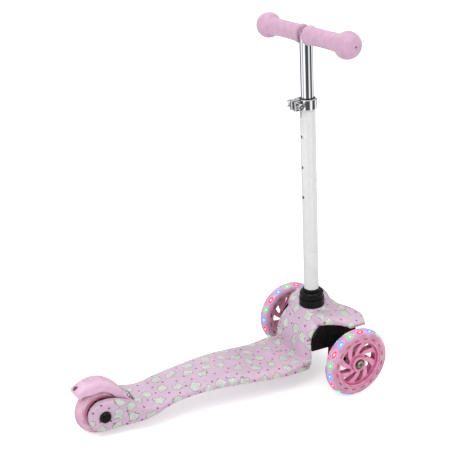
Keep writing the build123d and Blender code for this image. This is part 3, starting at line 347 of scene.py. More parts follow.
tyreLook = {
    "colour": (0.52, 0.25, 0.36, 1),
    "drift": (0.60, 0.34, 0.45, 1),
    # Painted shade: the next colour is mixed into the tyre's recesses.
    "recessShade": (0.38, 0.06, 0.13, 1),
    # The lamp entries set the glow painted on the front tyres' tread.
    "lampCount": 18,
    "lampHalfLength": 0.0079,
    "lampHalfWidth": 0.0050,
    "lampOffset": 0.0080,  # from the crown to the middle of a lamp
    "lampStrength": 1.15,
    "acrossUnit": 0.1,     # metres in one unit across the tyre's own map
    "red": (1.0, 0.03, 0.06, 1),
    "green": (0.03, 0.85, 0.10, 1),
    "blue": (0.02, 0.42, 1.0, 1),
    "halo": (0.30, 0.20, 0.75, 1),
}


def tyreRubber(name, look, radius, lit):
    material, tree, shader, place = startMaterial(name)
    grain = useGroup(tree, grainGroup, Vector=place, Scale=700.0, Waviness=0.8)
    cloud = fade(tree, noise(tree, place, 42.0, 2.0), 0.35, 0.68)
    colour = mixColour(tree, cloud, look["colour"], look["drift"])
    # Painted shade: an occlusion mask darkens the rubber in its recesses.
    recessShadeAndTarnish = useGroup(tree, recessShadeAndTarnishGroup, Reach=0.010)
    colour = mixColour(tree, math2(tree, "MULTIPLY", recessShadeAndTarnish["Mask"], 0.6), colour, look["recessShade"])
    if lit:
        around = uvAxes(tree, "around")
        count = look["lampCount"]
        steps = math2(tree, "ADD", math2(tree, "MULTIPLY", around["X"], float(count)), 0.5)
        number = math2(tree, "FLOOR", steps)
        along = math2(tree, "MULTIPLY", math2(tree, "SUBTRACT", math2(tree, "FRACT", steps), 0.5),
                      2 * math.pi * radius / count)
        # Each lamp sits well inside the rubber, so its painted glow is laid at both shoulders of the tread.
        fromCrown = math2(tree, "ABSOLUTE", math2(tree, "SUBTRACT", around["Y"], 0.5))
        across = math2(tree, "SUBTRACT", math2(tree, "MULTIPLY", fromCrown, look["acrossUnit"]), look["lampOffset"])

        def oval(share):
            longWay = math2(tree, "DIVIDE", along, look["lampHalfLength"] * share)
            wideWay = math2(tree, "DIVIDE", across, look["lampHalfWidth"] * share)
            return rootOfSquares(tree, (longWay, wideWay))

        third = math2(tree, "FLOORED_MODULO", number, 3.0)
        lamp = mixColour(tree, math2(tree, "GREATER_THAN", third, 0.5), look["red"], look["green"])
        lamp = mixColour(tree, math2(tree, "GREATER_THAN", third, 1.5), lamp, look["blue"])
        # Painted light: an oval glow in the lamp's colour with a white core and a violet halo, given out as emission
        # from the tread; under the glow the base colour is darkened so that only the painted light shows.
        glow = fade(tree, oval(1.0), 0.72, 1.05, 1.0, 0.0)
        core = fade(tree, oval(0.42), 0.3, 1.15, 1.0, 0.0)
        halo = fade(tree, oval(2.3), 0.3, 1.0, 0.35, 0.0)
        light = mixColour(tree, core, lamp, (1, 1, 1, 1))
        shone = mixColour(tree, glow, mixColour(tree, halo, (0, 0, 0, 1), look["halo"]), light)
        colour = mixColour(tree, glow, colour, (0.05, 0.05, 0.05, 1))
        tree.links.new(shone, shader.inputs["Emission Color"])
        shader.inputs["Emission Strength"].default_value = look["lampStrength"]
        tree.links.new(fade(tree, oval(1.0), 0.7, 1.3, 0.0, 0.35), shader.inputs["Coat Weight"])
    else:
        shader.inputs["Coat Weight"].default_value = 0.35
    tree.links.new(colour, shader.inputs["Base Color"])
    tree.links.new(fade(tree, grain["Shade"], 0.25, 0.75, 0.16, 0.28), shader.inputs["Roughness"])
    addBump(tree, shader, grain["Height"], 0.00005)
    setSockets(shader, {"Subsurface Weight": 0.25, "Subsurface Radius": (1.0, 0.35, 0.5), "Subsurface Scale": 0.004,
                        "Coat Roughness": 0.08})
    return material


finishes = {
    "shell_plastic": printedShell("printedShell", printLook),
    "black_plastic": moulded("blackPlastic", {
        "colour": (0.006, 0.006, 0.006, 1), "drift": (0.009, 0.009, 0.009, 1), "worn": (0.05, 0.05, 0.05, 1),
        "roughness": 0.22, "grainScale": 1100.0, "grainDepth": 0.00002, "dust": 0.0, "wear": 0.05,
        "sockets": {"Coat Weight": 0.05, "Coat Roughness": 0.06, "Specular IOR Level": 0.14}}),
    "white_paint": paintedTube("whitePaint", {
        "colour": (0.655, 0.66, 0.665, 1), "drift": (0.665, 0.67, 0.675, 1), "chip": (0.45, 0.43, 0.40, 1),
        "peelScale": 620.0, "peelDepth": 0.00002}),
    "chrome": metallic("chromePlate", {
        "colour": (0.80, 0.81, 0.83, 1), "dull": (0.25, 0.25, 0.26, 1), "tarnish": 0.6, "roughness": 0.045,
        "smudge": 0.05, "grainScale": 500.0, "grainDepth": 0.000008}),
    "zinc_steel": metallic("zincSteel", {
        "colour": (0.62, 0.62, 0.60, 1), "dull": (0.20, 0.19, 0.18, 1), "tarnish": 0.8, "roughness": 0.27,
        "smudge": 0.12, "grainScale": 1600.0, "grainDepth": 0.00003, "stretch": (1, 0.15, 1)}),
    "brass": metallic("yellowZinc", {
        "colour": (0.62, 0.45, 0.16, 1), "dull": (0.12, 0.08, 0.03, 1), "tarnish": 0.9, "roughness": 0.24,
        "smudge": 0.12, "grainScale": 1500.0, "grainDepth": 0.00003}),
    "grip_rubber": moulded("gripRubber", {
        "colour": (0.51, 0.305, 0.435, 1), "drift": (0.56, 0.345, 0.47, 1),
        # Painted shade: the grip's grooves are darkened towards the next colour.
        "recessShade": (0.33, 0.11, 0.21, 1), "reach": 0.003,
        "worn": (0.62, 0.43, 0.54, 1), "roughness": 0.5, "grainScale": 1500.0, "grainDepth": 0.00006,
        "sockets": {"Sheen Weight": 0.15, "Subsurface Weight": 0.15, "Subsurface Scale": 0.003}}),
    "bush_rubber": moulded("bushRubber", {
        "colour": (0.03, 0.03, 0.03, 1), "drift": (0.045, 0.044, 0.043, 1), "worn": (0.15, 0.15, 0.15, 1),
        "roughness": 0.65, "grainScale": 900.0, "grainDepth": 0.00008}),
    "core_plastic": moulded("corePlastic", {
        "colour": (0.66, 0.235, 0.40, 1), "drift": (0.71, 0.28, 0.45, 1),
        # Painted shade and bounce colour: the core's windows and slots are darkened to a saturated red.
        "recessShade": (0.36, 0.012, 0.06, 1), "reach": 0.013,
        "worn": (0.80, 0.45, 0.60, 1), "roughness": 0.28, "grainScale": 1200.0, "grainDepth": 0.00003, "dust": 0.02,
        "sockets": {"Coat Weight": 0.3, "Coat Roughness": 0.1, "Subsurface Weight": 0.2, "Subsurface Scale": 0.004}}),
    "lamp_plastic": moulded("lampPlastic", {
        "colour": (0.80, 0.80, 0.78, 1), "drift": (0.74, 0.75, 0.76, 1), "worn": (0.9, 0.9, 0.9, 1),
        "roughness": 0.2, "grainScale": 1000.0, "grainDepth": 0.00002}),
    "brake_plastic": moulded("brakePlastic", {
        "colour": (0.64, 0.41, 0.55, 1), "drift": (0.68, 0.45, 0.59, 1),
        # Painted shade: the hood's recesses are darkened towards the next colour.
        "recessShade": (0.40, 0.12, 0.24, 1), "reach": 0.004,
        "worn": (0.74, 0.55, 0.67, 1), "roughness": 0.36, "grainScale": 1300.0, "grainDepth": 0.00004,
        "sockets": {"Subsurface Weight": 0.12, "Subsurface Scale": 0.004}}),
}
dashRose = moulded("dashRose", {
    "colour": (0.42, 0.03, 0.085, 1), "drift": (0.48, 0.05, 0.11, 1), "worn": (0.5, 0.2, 0.3, 1),
    "roughness": 0.3, "grainScale": 900.0, "grainDepth": 0.00003, "dust": 0.0})
frontRubber = tyreRubber("frontTyreRubber", tyreLook, 0.06, True)
rearTyreLook = dict(tyreLook, colour=(0.60, 0.34, 0.46, 1), drift=(0.68, 0.43, 0.55, 1))
rearRubber = tyreRubber("rearTyreRubber", rearTyreLook, 0.04, False)
print("materials built:", len(bpy.data.materials))

slotOfNode = {part["node"]: part["material_slot"] for part in frame["record"]["subparts"]}
for nodeName, node in frame["nodes"].items():
    finish = finishes.get(slotOfNode[nodeName], rearRubber)
    if node.material_slots:
        for materialSlot in node.material_slots:
            materialSlot.material = finish
    else:
        node.data.materials.append(finish)


# Mesh helpers

def placed(name, data):
    piece = bpy.data.objects.new(name, data)
    bpy.context.scene.collection.objects.link(piece)
    return piece


def asPiece(shape, name):
    mesh = bpy.data.meshes.new(name)
    shape.to_mesh(mesh)
    shape.free()
    return placed(name, mesh)


def meshObject(name, vertices, faces, material, sharpAngle=40.0):
    mesh = bpy.data.meshes.new(name)
    mesh.from_pydata([tuple(vertex) for vertex in vertices], [], faces)
    mesh.validate()
    return finishMesh(name, mesh, material, sharpAngle)


def finishMesh(name, mesh, material, sharpAngle=40.0):
    mesh.name = name
    mesh.materials.clear()
    mesh.materials.append(material)
    mesh.shade_smooth()
    mesh.set_sharp_from_angle(angle=math.radians(sharpAngle))
    return placed(name, mesh)


def outward(mesh):
    shape = bmesh.new()
    shape.from_mesh(mesh)
    bmesh.ops.remove_doubles(shape, verts=shape.verts, dist=1e-6)
    bmesh.ops.recalc_face_normals(shape, faces=shape.faces)
    shape.to_mesh(mesh)
    shape.free()


def applied(piece):
    # The piece's mesh with its modifiers worked in, and the modifiers gone.
    graph = bpy.context.evaluated_depsgraph_get()
    mesh = bpy.data.meshes.new_from_object(piece.evaluated_get(graph))
    piece.modifiers.clear()
    old = piece.data
    piece.data = mesh
    bpy.data.meshes.remove(old)
    return mesh


def softened(node, name, look):
    # A copy of a CAD piece whose hard edges are moulded round.
    mesh = frame["nodes"][node].data.copy()
    shape = bmesh.new()
    shape.from_mesh(mesh)
    bmesh.ops.remove_doubles(shape, verts=shape.verts, dist=1e-6)
    shape.to_mesh(mesh)
    shape.free()
    piece = placed(name, mesh)
    voxels = piece.modifiers.new("voxels", "REMESH")
    voxels.mode = "VOXEL"
    voxels.voxel_size = look["voxel"]
    rounding = piece.modifiers.new("rounding", "SMOOTH")
    rounding.factor = 0.5
    rounding.iterations = look["rounds"]
    made = applied(piece)
    bpy.data.objects.remove(piece)
    return made


def surfaceTree(mesh):
    return BVHTree.FromPolygons([vertex.co for vertex in mesh.vertices],
                                [polygon.vertices for polygon in mesh.polygons])


# Body shell

shellLook = {"voxel": 0.0014, "rounds": 8, "rollBack": -0.175, "rollFront": 0.125,
             "rollWidth": 0.020, "rollDrop": 0.0070, "blobSpacing": 0.0205, "dotSpacing": 0.0150,
             "faintSpacing": 0.0130, "blobRoom": 0.0118, "dotRoom": 0.0072, "dotSize": 0.17, "faintSize": 0.24,
             "seed": 7,
             "sampleStep": 3, "lowestFacing": -0.3, "clearAbove": 0.07, "rayLift": 0.0004, "batch": 4000,
             "stopGap": 0.004, "deckHighest": 0.066, "deckMiddle": 0.03, "fadeBack": 0.03, "fadeFront": 0.04,
             "headFoot": 0.075, "headFade": 0.012}


def spread(points, spacing, taken, rng):
    # Farthest-first picks: an even scatter that keeps clear of what is already there.
    room = np.full(len(points), np.inf)
    for other, gap in taken:
        room = np.minimum(room, np.linalg.norm(points - other, axis=1) - gap + spacing)
    picked = []
    first = int(rng.integers(len(points)))
    if np.isinf(room).all():
        picked.append(first)
        room = np.linalg.norm(points - points[first], axis=1)
    while room.max() > spacing:
        best = int(room.argmax())
        picked.append(best)
        room = np.minimum(room, np.linalg.norm(points - points[best], axis=1))
    return picked


def printShell(mesh, look):
    rng = np.random.default_rng(look["seed"])
    centres = np.array([polygon.center for polygon in mesh.polygons])
    normals = np.array([polygon.normal for polygon in mesh.polygons])
    tree = surfaceTree(mesh)
    outside = []
    for number in range(0, len(centres), look["sampleStep"]):
        if normals[number][2] < look["lowestFacing"]:
            continue
        start = Vector(centres[number] + normals[number] * look["rayLift"])
        if tree.ray_cast(start, Vector(normals[number]), look["clearAbove"])[0] is None:  # faces open air
            outside.append(number)
    outside = np.array(outside)
    points = centres[outside]
    blobs = spread(points, look["blobSpacing"], [], rng)
    around = [(points[pick], look["blobRoom"]) for pick in blobs]
    dots = spread(points, look["dotSpacing"], around, rng)
    around += [(points[pick], look["dotRoom"]) for pick in dots]
    faints = spread(points, look["faintSpacing"], around, rng)
    motifs = [(pick, 1, 1.0) for pick in blobs]
    motifs += [(pick, 2, look["dotSize"]) for pick in dots]
    motifs += [(pick, 3, look["faintSize"]) for pick in faints]
    spots = np.array([points[pick] for pick, kind, size in motifs])
    facing = np.array([normals[outside[pick]] for pick, kind, size in motifs])
    kinds = np.array([kind for pick, kind, size in motifs], float)
    sizes = np.array([size for pick, kind, size in motifs])
    seeds = rng.random(len(motifs))
    turns = rng.random(len(motifs)) * 2 * math.pi
    nearest = np.empty(len(centres), int)
    batch = look["batch"]
    for start in range(0, len(centres), batch):
        part = centres[start:start + batch]
        gaps = np.linalg.norm(part[:, None, :] - spots[None, :, :], axis=2) / sizes[None, :]
        nearest[start:start + batch] = gaps.argmin(axis=1)
    away = (normals * facing[nearest]).sum(axis=1) < look["lowestFacing"]
    helper = np.where(np.abs(facing[:, :1]) < 0.9, [[1.0, 0, 0]], [[0, 1.0, 0]])
    firstAxis = np.cross(facing, helper)
    firstAxis /= np.linalg.norm(firstAxis, axis=1)[:, None]
    secondAxis = np.cross(facing, firstAxis)
    acrossAxis = firstAxis * np.cos(turns)[:, None] + secondAxis * np.sin(turns)[:, None]
    upAxis = np.cross(facing, acrossAxis)

    loopTotal = len(mesh.loops)
    loopVertex = np.empty(loopTotal, int)
    mesh.loops.foreach_get("vertex_index", loopVertex)
    loopFace = np.repeat(np.arange(len(mesh.polygons)), [polygon.loop_total for polygon in mesh.polygons])
    places = np.array([vertex.co for vertex in mesh.vertices])[loopVertex]
    owner = nearest[loopFace]
    offset = places - spots[owner]
    flat = np.stack([(offset * acrossAxis[owner]).sum(axis=1), (offset * upAxis[owner]).sum(axis=1)], axis=1)
    # Round an edge, the distance along the surface counts, not its shadow on the motif's plane.
    flatLength = np.maximum(np.linalg.norm(flat, axis=1), 1e-7)
    flat *= (np.linalg.norm(offset, axis=1) / flatLength)[:, None] / printLook["unit"]
    kindAndSeed = np.stack([np.where(away[loopFace], 0.0, kinds[owner]), seeds[owner]], axis=1)
    for label, values in (("motifSpot", flat), ("motifKind", kindAndSeed)):
        layer = mesh.uv_layers.new(name=label)
        layer.data.foreach_set("uv", values.astype(np.float32).ravel())
    print("print laid out:", len(blobs), "blobs,", len(dots), "dots,", len(faints), "faint rings")


def getPlaces(mesh):
    places = np.empty(len(mesh.vertices) * 3, np.float32)
    mesh.vertices.foreach_get("co", places)
    return places.reshape(-1, 3).astype(float)


def setPlaces(mesh, places):
    mesh.vertices.foreach_set("co", places.astype(np.float32).ravel())
    mesh.update()


def rollEdges(mesh, look):
    # The deck's top rolls over into its skirt: it sinks towards its edge, and the skirt's foot stays where it is.
    places = getPlaces(mesh)
    x, y, z = places[:, 0], np.abs(places[:, 1]), places[:, 2]
    gap = look["stopGap"]
    stops = np.arange(look["rollBack"], look["rollFront"] + gap, gap)
    edges, tops, feet = [], [], []
    for stop in stops:
        near = (np.abs(x - stop) < gap) & (z < look["deckHighest"])
        edges.append(y[near].max())
        rim = near & (y > edges[-1] - gap)
        tops.append(z[near & (y < look["deckMiddle"])].max())
        feet.append(z[rim].min())
    smooth = np.ones(5) / 5

    def along(values):
        padded = np.pad(values, 2, mode="edge")
        return np.interp(x, stops, np.convolve(padded, smooth, "valid"))

    edge, top, foot = along(edges), along(tops), along(feet)
    share = np.clip(1 - (edge - y) / look["rollWidth"], 0, 1) ** 2
    height = np.clip((z - foot) / (top - foot), 0, 1)
    fadeBack = np.clip((x - look["rollBack"]) / look["fadeBack"], 0, 1)
    fadeFront = np.clip((look["rollFront"] - x) / look["fadeFront"], 0, 1)
    fadeHead = np.clip((look["headFoot"] - z) / look["headFade"], 0, 1)
    places[:, 2] -= look["rollDrop"] * share * height * fadeBack * fadeFront * fadeHead
    setPlaces(mesh, places)


shellMesh = softened("deck_shell", "bodyShell", shellLook)
rollEdges(shellMesh, shellLook)
printShell(shellMesh, shellLook)
bodyShell = finishMesh("bodyShell", shellMesh, finishes["shell_plastic"], 60.0)
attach(bodyShell, "frame")
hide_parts("deck_shell")
print("body shell:", len(shellMesh.polygons), "faces")


# Geometry node trees for what repeats

def makeTree(name, inputs):
    tree = bpy.data.node_groups.new(name, "GeometryNodeTree")
    for label, kind, value in inputs:
        socket = tree.interface.new_socket(name=label, in_out="INPUT", socket_type=kind)
        if value is not None:
            socket.default_value = value
    tree.interface.new_socket(name="Geometry", in_out="OUTPUT", socket_type="NodeSocketGeometry")
    return tree, tree.nodes.new("NodeGroupInput"), tree.nodes.new("NodeGroupOutput")


def endTree(tree, leave, geometry, material):
    realize = addNode(tree, "GeometryNodeRealizeInstances", Geometry=geometry)
    painted = addNode(tree, "GeometryNodeSetMaterial", Geometry=realize.outputs["Geometry"], Material=material)
    tree.links.new(painted.outputs["Geometry"], leave.inputs["Geometry"])


def buildRingTree():
    # Copies of one piece in a ring about the wheel's axle, each turned to face outwards.
    tree, enter, leave = makeTree("ringOfPieces", [
        ("Piece", "NodeSocketObject", None), ("Count", "NodeSocketInt", 16), ("Radius", "NodeSocketFloat", 0.046),
        ("Start Turn", "NodeSocketFloat", 0.0), ("Centre", "NodeSocketVector", (0, 0, 0)),
        ("Material", "NodeSocketMaterial", None)])
    asked = enter.outputs
    circle = addNode(tree, "GeometryNodeMeshCircle", Vertices=asked["Count"], Radius=asked["Radius"])
    source = addNode(tree, "GeometryNodeObjectInfo", Object=asked["Piece"])
    index = tree.nodes.new("GeometryNodeInputIndex")
    step = math2(tree, "DIVIDE", 2 * math.pi, asked["Count"])
    turn = addNode(tree, "ShaderNodeCombineXYZ", Z=math2(tree, "MULTIPLY", index.outputs[0], step))
    copies = addNode(tree, "GeometryNodeInstanceOnPoints", Points=circle.outputs["Mesh"],
                     Instance=source.outputs["Geometry"], Rotation=turn.outputs[0])
    startTurn = addNode(tree, "ShaderNodeCombineXYZ", Z=asked["Start Turn"])
    spun = addNode(tree, "GeometryNodeTransform", Geometry=copies.outputs["Instances"], Rotation=startTurn.outputs[0])
    stood = addNode(tree, "GeometryNodeTransform", Geometry=spun.outputs["Geometry"], Translation=asked["Centre"],
                    Rotation=(math.pi / 2, 0, 0))
    endTree(tree, leave, stood.outputs["Geometry"], asked["Material"])
    return tree


def buildRowTree():
    # Copies of one piece evenly along a line, each laid along the line's slope.
    tree, enter, leave = makeTree("rowOfRibs", [
        ("Line", "NodeSocketGeometry", None), ("Piece", "NodeSocketObject", None), ("Count", "NodeSocketInt", 11),
        ("Material", "NodeSocketMaterial", None)])
    curve = addNode(tree, "GeometryNodeMeshToCurve", Mesh=enter.outputs["Line"])
    stops = addNode(tree, "GeometryNodeResampleCurve", Curve=curve.outputs["Curve"], Count=enter.outputs["Count"])
    slope = tree.nodes.new("GeometryNodeInputTangent")
    aim = addNode(tree, "FunctionNodeAlignRotationToVector", Vector=slope.outputs[0])
    aim.axis = "X"
    aim.pivot_axis = "Y"
    source = addNode(tree, "GeometryNodeObjectInfo", Object=enter.outputs["Piece"])
    copies = addNode(tree, "GeometryNodeInstanceOnPoints", Points=stops.outputs["Curve"],
                     Instance=source.outputs["Geometry"], Rotation=aim.outputs["Rotation"])
    endTree(tree, leave, copies.outputs["Instances"], enter.outputs["Material"])
    return tree


ringTree = buildRingTree()
rowTree = buildRowTree()


def grown(name, tree, values, start=None):
    # Runs a tree on a new object and keeps its result as a plain mesh.
    piece = placed(name, start or bpy.data.meshes.new(name))
    modifier = piece.modifiers.new("nodes", "NODES")
    modifier.node_group = tree
    for item in tree.interface.items_tree:
        if item.item_type == "SOCKET" and item.in_out == "INPUT" and item.name in values:
            modifier[item.identifier] = values[item.name]
    made = applied(piece)
    made.name = name
    made.shade_smooth()
    made.set_sharp_from_angle(angle=math.radians(40))
    return piece


def slab(name, length, width, depth, bevel):
    # A rounded block: x is radial on a ring, y runs round it.
    shape = bmesh.new()
    bmesh.ops.create_cube(shape, size=1.0)
    bmesh.ops.scale(shape, vec=(width, length, depth), verts=shape.verts)
    bmesh.ops.bevel(shape, geom=shape.edges[:], offset=bevel, segments=2, profile=0.5, affect="EDGES")
    return asPiece(shape, name)


def lens(name, halfX, halfY, halfZ):
    shape = bmesh.new()
    bmesh.ops.create_uvsphere(shape, u_segments=16, v_segments=8, radius=1.0)
    bmesh.ops.scale(shape, vec=(halfX, halfY, halfZ), verts=shape.verts)
    return asPiece(shape, name)


# Turned pieces: a profile of (along, radius) spun about an axis that points to the left

def turned(name, profile, centre, segments, material, closed, ripple=None):
    points = []
    for along, radius in profile:
        for number in range(segments):
            angle = 2 * math.pi * number / segments
            lift = ripple(along, angle) if ripple else 0.0
            points.append((centre[0] - (radius + lift) * math.sin(angle), centre[1] + along,
                           centre[2] + (radius + lift) * math.cos(angle)))
    rows = len(profile)
    faces = []
    for row in range(rows if closed else rows - 1):
        low, high = row * segments, (row + 1) % rows * segments
        for number in range(segments):
            following = (number + 1) % segments
            faces.append((low + number, low + following, high + following, high + number))
    if not closed:
        faces.append(tuple(range(segments)))
        faces.append(tuple((rows - 1) * segments + number for number in reversed(range(segments))))
    return meshObject(name, points, faces, material)


def mapAround(piece, centre, radius, phase):
    # u runs round the wheel from its top towards the back; v is the distance across the tread.
    mesh = piece.data
    layer = mesh.uv_layers.new(name="around")
    unit = tyreLook["acrossUnit"]
    for polygon in mesh.polygons:
        middle = polygon.center
        home = math.atan2(centre[0] - middle.x, middle.z - centre[2])
        for loop in polygon.loop_indices:
            spot = mesh.vertices[mesh.loops[loop].vertex_index].co
            angle = math.atan2(centre[0] - spot.x, spot.z - centre[2])
            angle += 2 * math.pi * round((home - angle) / (2 * math.pi))
            reach = math.hypot(spot.x - centre[0], spot.z - centre[2])
            drop = math.copysign(max(0.0, radius - reach), spot.y - centre[1])
            layer.data[loop].uv = (angle / (2 * math.pi) + phase, 0.5 + (spot.y - centre[1] + drop) / unit)


# Wheels

wheelLook = {
    "segments": 144, "arcSteps": 22, "seamHeight": 0.00012, "seamHalfWidth": 0.0006, "wallInset": 0.0004,
    "frontDashes": 16, "dashLength": 0.0084, "dashWidth": 0.0027, "dashDepth": 0.0010, "dashBevel": 0.0002,
    "dashProud": 0.00018, "dashFromBore": 0.0034, "shoulderDrop": 0.010,
    "rearDashes": 10, "leftPhase": 0.03,
}


def tyreProfile(radius, inner, halfWidth, look):
    # A round tread with a fine mould seam, a shallow step in each wall, and a plain bore.
    shoulder = radius - look["shoulderDrop"]
    centreRadius = (halfWidth ** 2 - (radius - shoulder) ** 2) / (2 * (radius - shoulder))
    bow = radius - shoulder + centreRadius
    arcCentre = radius - bow
    reach = math.asin(min(1.0, halfWidth / bow))
    points = []
    for number in range(look["arcSteps"] + 1):
        angle = -reach + 2 * reach * number / look["arcSteps"]
        points.append((bow * math.sin(angle), arcCentre + bow * math.cos(angle) - look["seamHeight"]))
    middle = len(points) // 2
    seam = look["seamHalfWidth"]
    points[middle:middle + 1] = [(-seam, radius - look["seamHeight"]), (-seam / 2, radius), (seam / 2, radius),
                                 (seam, radius - look["seamHeight"])]
    inset = look["wallInset"]
    step = min(0.0022, (shoulder - inner) / 3)
    right = [(halfWidth, shoulder - step * 0.5), (halfWidth - inset, shoulder - step),
             (halfWidth - inset, inner + step),
             (halfWidth - inset - 0.0006, inner)]
    left = [(-along, height) for along, height in reversed(right)]
    return points + right + left


def buildTyre(name, node, material, look, phase):
    low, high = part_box(node)
    centre = ((low.x + high.x) / 2, (low.y + high.y) / 2, (low.z + high.z) / 2)
    halfWidth, radius = (high.y - low.y) / 2, (high.z - low.z) / 2
    reach = np.array([vertex.co for vertex in frame["nodes"][node].data.vertices])
    inner = float(np.hypot(reach[:, 0] - centre[0], reach[:, 2] - centre[2]).min())
    piece = turned(name, tyreProfile(radius, inner, halfWidth, look), centre, look["segments"], material, True)
    outward(piece.data)
    mapAround(piece, centre, radius, phase)
    return piece, centre, halfWidth, inner


def dashRing(name, centre, face, radius, count, look, material):
    block = slab(name + "Block", look["dashLength"], look["dashWidth"], look["dashDepth"], look["dashBevel"])
    piece = grown(name, ringTree, {"Piece": block, "Count": count, "Radius": radius, "Start Turn": math.pi / count,
                                   "Centre": (centre[0], face, centre[2]), "Material": material})
    bpy.data.objects.remove(block)
    return piece


def addWheel(word, body, tyreNode, material, dashes, phase):
    piece, centre, halfWidth, inner = buildTyre(word + "Tyre", tyreNode, material, wheelLook, phase)
    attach(piece, body)
    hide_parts(tyreNode)
    wall = halfWidth - wheelLook["wallInset"] - wheelLook["dashDepth"] / 2 + wheelLook["dashProud"]
    for label, way in (("Outer", 1), ("Inner", -1)):
        ring = dashRing(word + "Dashes" + label, centre, centre[1] + way * wall, inner + wheelLook["dashFromBore"],
                        dashes, wheelLook, dashRose)
        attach(ring, body)


for word, side in sides:
    phase = wheelLook["leftPhase"] if side > 0 else 0.0
    addWheel(word + "Front", word + "_wheel", "front_tyre_" + word, frontRubber, wheelLook["frontDashes"], phase)
addWheel("rear", "rear_wheel", "rear_tyre", rearRubber, wheelLook["rearDashes"], 0.0)
print("wheels built")


# Grips

gripLook = {"segments": 160, "barrelSteps": 70, "waist": 0.0007, "waveHeight": 0.00045, "ringHeight": 0.00022,
            "ringPitch": 0.0021, "gap": 0.0022, "flange": 0.0165, "barrel": 0.0140, "knob": 0.0208, "knobAt": 0.108,
            "ringEnd": 0.122, "waveStart": 0.022, "waveEnd": 0.082, "waveFade": 0.008}


def gripProfile(inner, outer, look):
    # Flange, waisted barrel and ball end, from the gap at the bar's middle outwards.
    flange, barrel, knob, knobAt = (look[part] for part in ("flange", "barrel", "knob", "knobAt"))
    inner += look["gap"]
    points = [(inner + 0.0012, 0.0100), (inner + 0.0012, flange - 0.0038), (inner + 0.0018, flange - 0.0022),
              (inner + 0.0030, flange - 0.0012), (inner + 0.0044, flange - 0.0010), (inner + 0.0056, flange - 0.0016),
              (inner + 0.0064, barrel)]
    start, end = inner + 0.008, knobAt - 0.0185
    for number in range(look["barrelSteps"] + 1):
        share = number / look["barrelSteps"]
        points.append((start + share * (end - start), barrel - look["waist"] * math.sin(math.pi * share)))
    # The ball, from its neck to the small flat at its end.
    halfDepth = outer - knobAt
    neckAngle = -math.acos((barrel + 0.0002) / knob)
    for number in range(41):
        angle = neckAngle + (math.radians(82) - neckAngle) * number / 40
        depth = 0.0205 if angle < 0 else halfDepth
        points.append((knobAt + depth * math.sin(angle), knob * math.cos(angle)))
    points += [(outer - 0.00002, 0.0022), (outer - 0.0004, 0.0017), (outer - 0.004, 0.0015), (outer - 0.004, 0.0002)]
    return points


def gripRipple(look):
    # Embossed waves on top of the barrel, and fine rings on the ball.
    def lift(along, angle):
        distance = abs(along)
        turn = math.atan2(math.sin(angle), math.cos(angle))
        start, end, fadeLength = look["waveStart"], look["waveEnd"], look["waveFade"]
        if start < distance < end:
            ends = min(1.0, (distance - start) / fadeLength, (end - distance) / fadeLength)
            brow = max(0.0, 1 - abs(turn) / 0.95)
            wave = math.sin(distance * 1100 + 2.2 * math.sin(turn * 5.0))
            return look["waveHeight"] * ends * min(1.0, brow * 3) * wave
        if look["knobAt"] < distance < look["ringEnd"]:
            return look["ringHeight"] * (math.cos(2 * math.pi * distance / look["ringPitch"]) - 1)
        return 0.0
    return lift


barCentre = (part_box("bar_plug_left")[0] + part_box("bar_plug_left")[1]) / 2
for word, side in sides:
    low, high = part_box("grip_" + word)
    inner = min(abs(low.y), abs(high.y))
    outer = max(abs(low.y), abs(high.y))
    profile = [(side * along, radius) for along, radius in gripProfile(inner, outer, gripLook)]
    grip = turned(word + "Grip", profile, (barCentre.x, 0, barCentre.z), gripLook["segments"],
                  finishes["grip_rubber"], False, gripRipple(gripLook))
    outward(grip.data)
    grip.data.shade_smooth()
    grip.data.set_sharp_from_angle(angle=math.radians(50))
    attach(grip, "handlebar")
    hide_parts("grip_" + word)
print("grips built")


# Brake hood and its ribs

hoodLook = {"voxel": 0.0007, "rounds": 26, "camber": 0.0085, "halfWidth": 0.0152, "ribCount": 11, "ribStart": 0.30,
            "ribEnd": 0.74, "ribHalfLength": 0.0105, "ribHalfWidth": 0.0007, "ribHalfHeight": 0.0009,
            "crownLength": 0.72, "crownSteps": 40, "camberStart": 0.042, "camberFade": 0.012, "rayRise": 0.02,
            "ribSink": 0.00015, "bendAt": 0.8}


def hoodDrop(across, look):
    # How far the hood's back falls away to each side of its middle line.
    share = np.minimum(np.abs(across) / look["halfWidth"], 0.985)
    return look["camber"] * (1 - np.sqrt(1 - share ** 2))


hoodMesh = softened("brake_fender", "brakeHood", hoodLook)
hoodPlaces = getPlaces(hoodMesh)
axle = (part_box("rear_tyre")[0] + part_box("rear_tyre")[1]) / 2
fromAxle = hoodPlaces[:, [0, 2]] - np.array([axle.x, axle.z])
reach = np.linalg.norm(fromAxle, axis=1)
outer = np.clip((reach - hoodLook["camberStart"]) / hoodLook["camberFade"], 0, 1)
camber = hoodDrop(hoodPlaces[:, 1], hoodLook) * outer
hoodPlaces[:, [0, 2]] -= fromAxle * (camber / reach)[:, None]
setPlaces(hoodMesh, hoodPlaces)
brakeHood = finishMesh("brakeHood", hoodMesh, finishes["brake_plastic"], 60.0)
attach(brakeHood, "brake")
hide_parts("brake_fender")

hoodLow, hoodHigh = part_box("brake_fender")
hoodTree = surfaceTree(hoodMesh)


def hoodTop(x, across):
    return hoodTree.ray_cast(Vector((x, across, hoodHigh.z + hoodLook["rayRise"])), Vector((0, 0, -1)))[0]


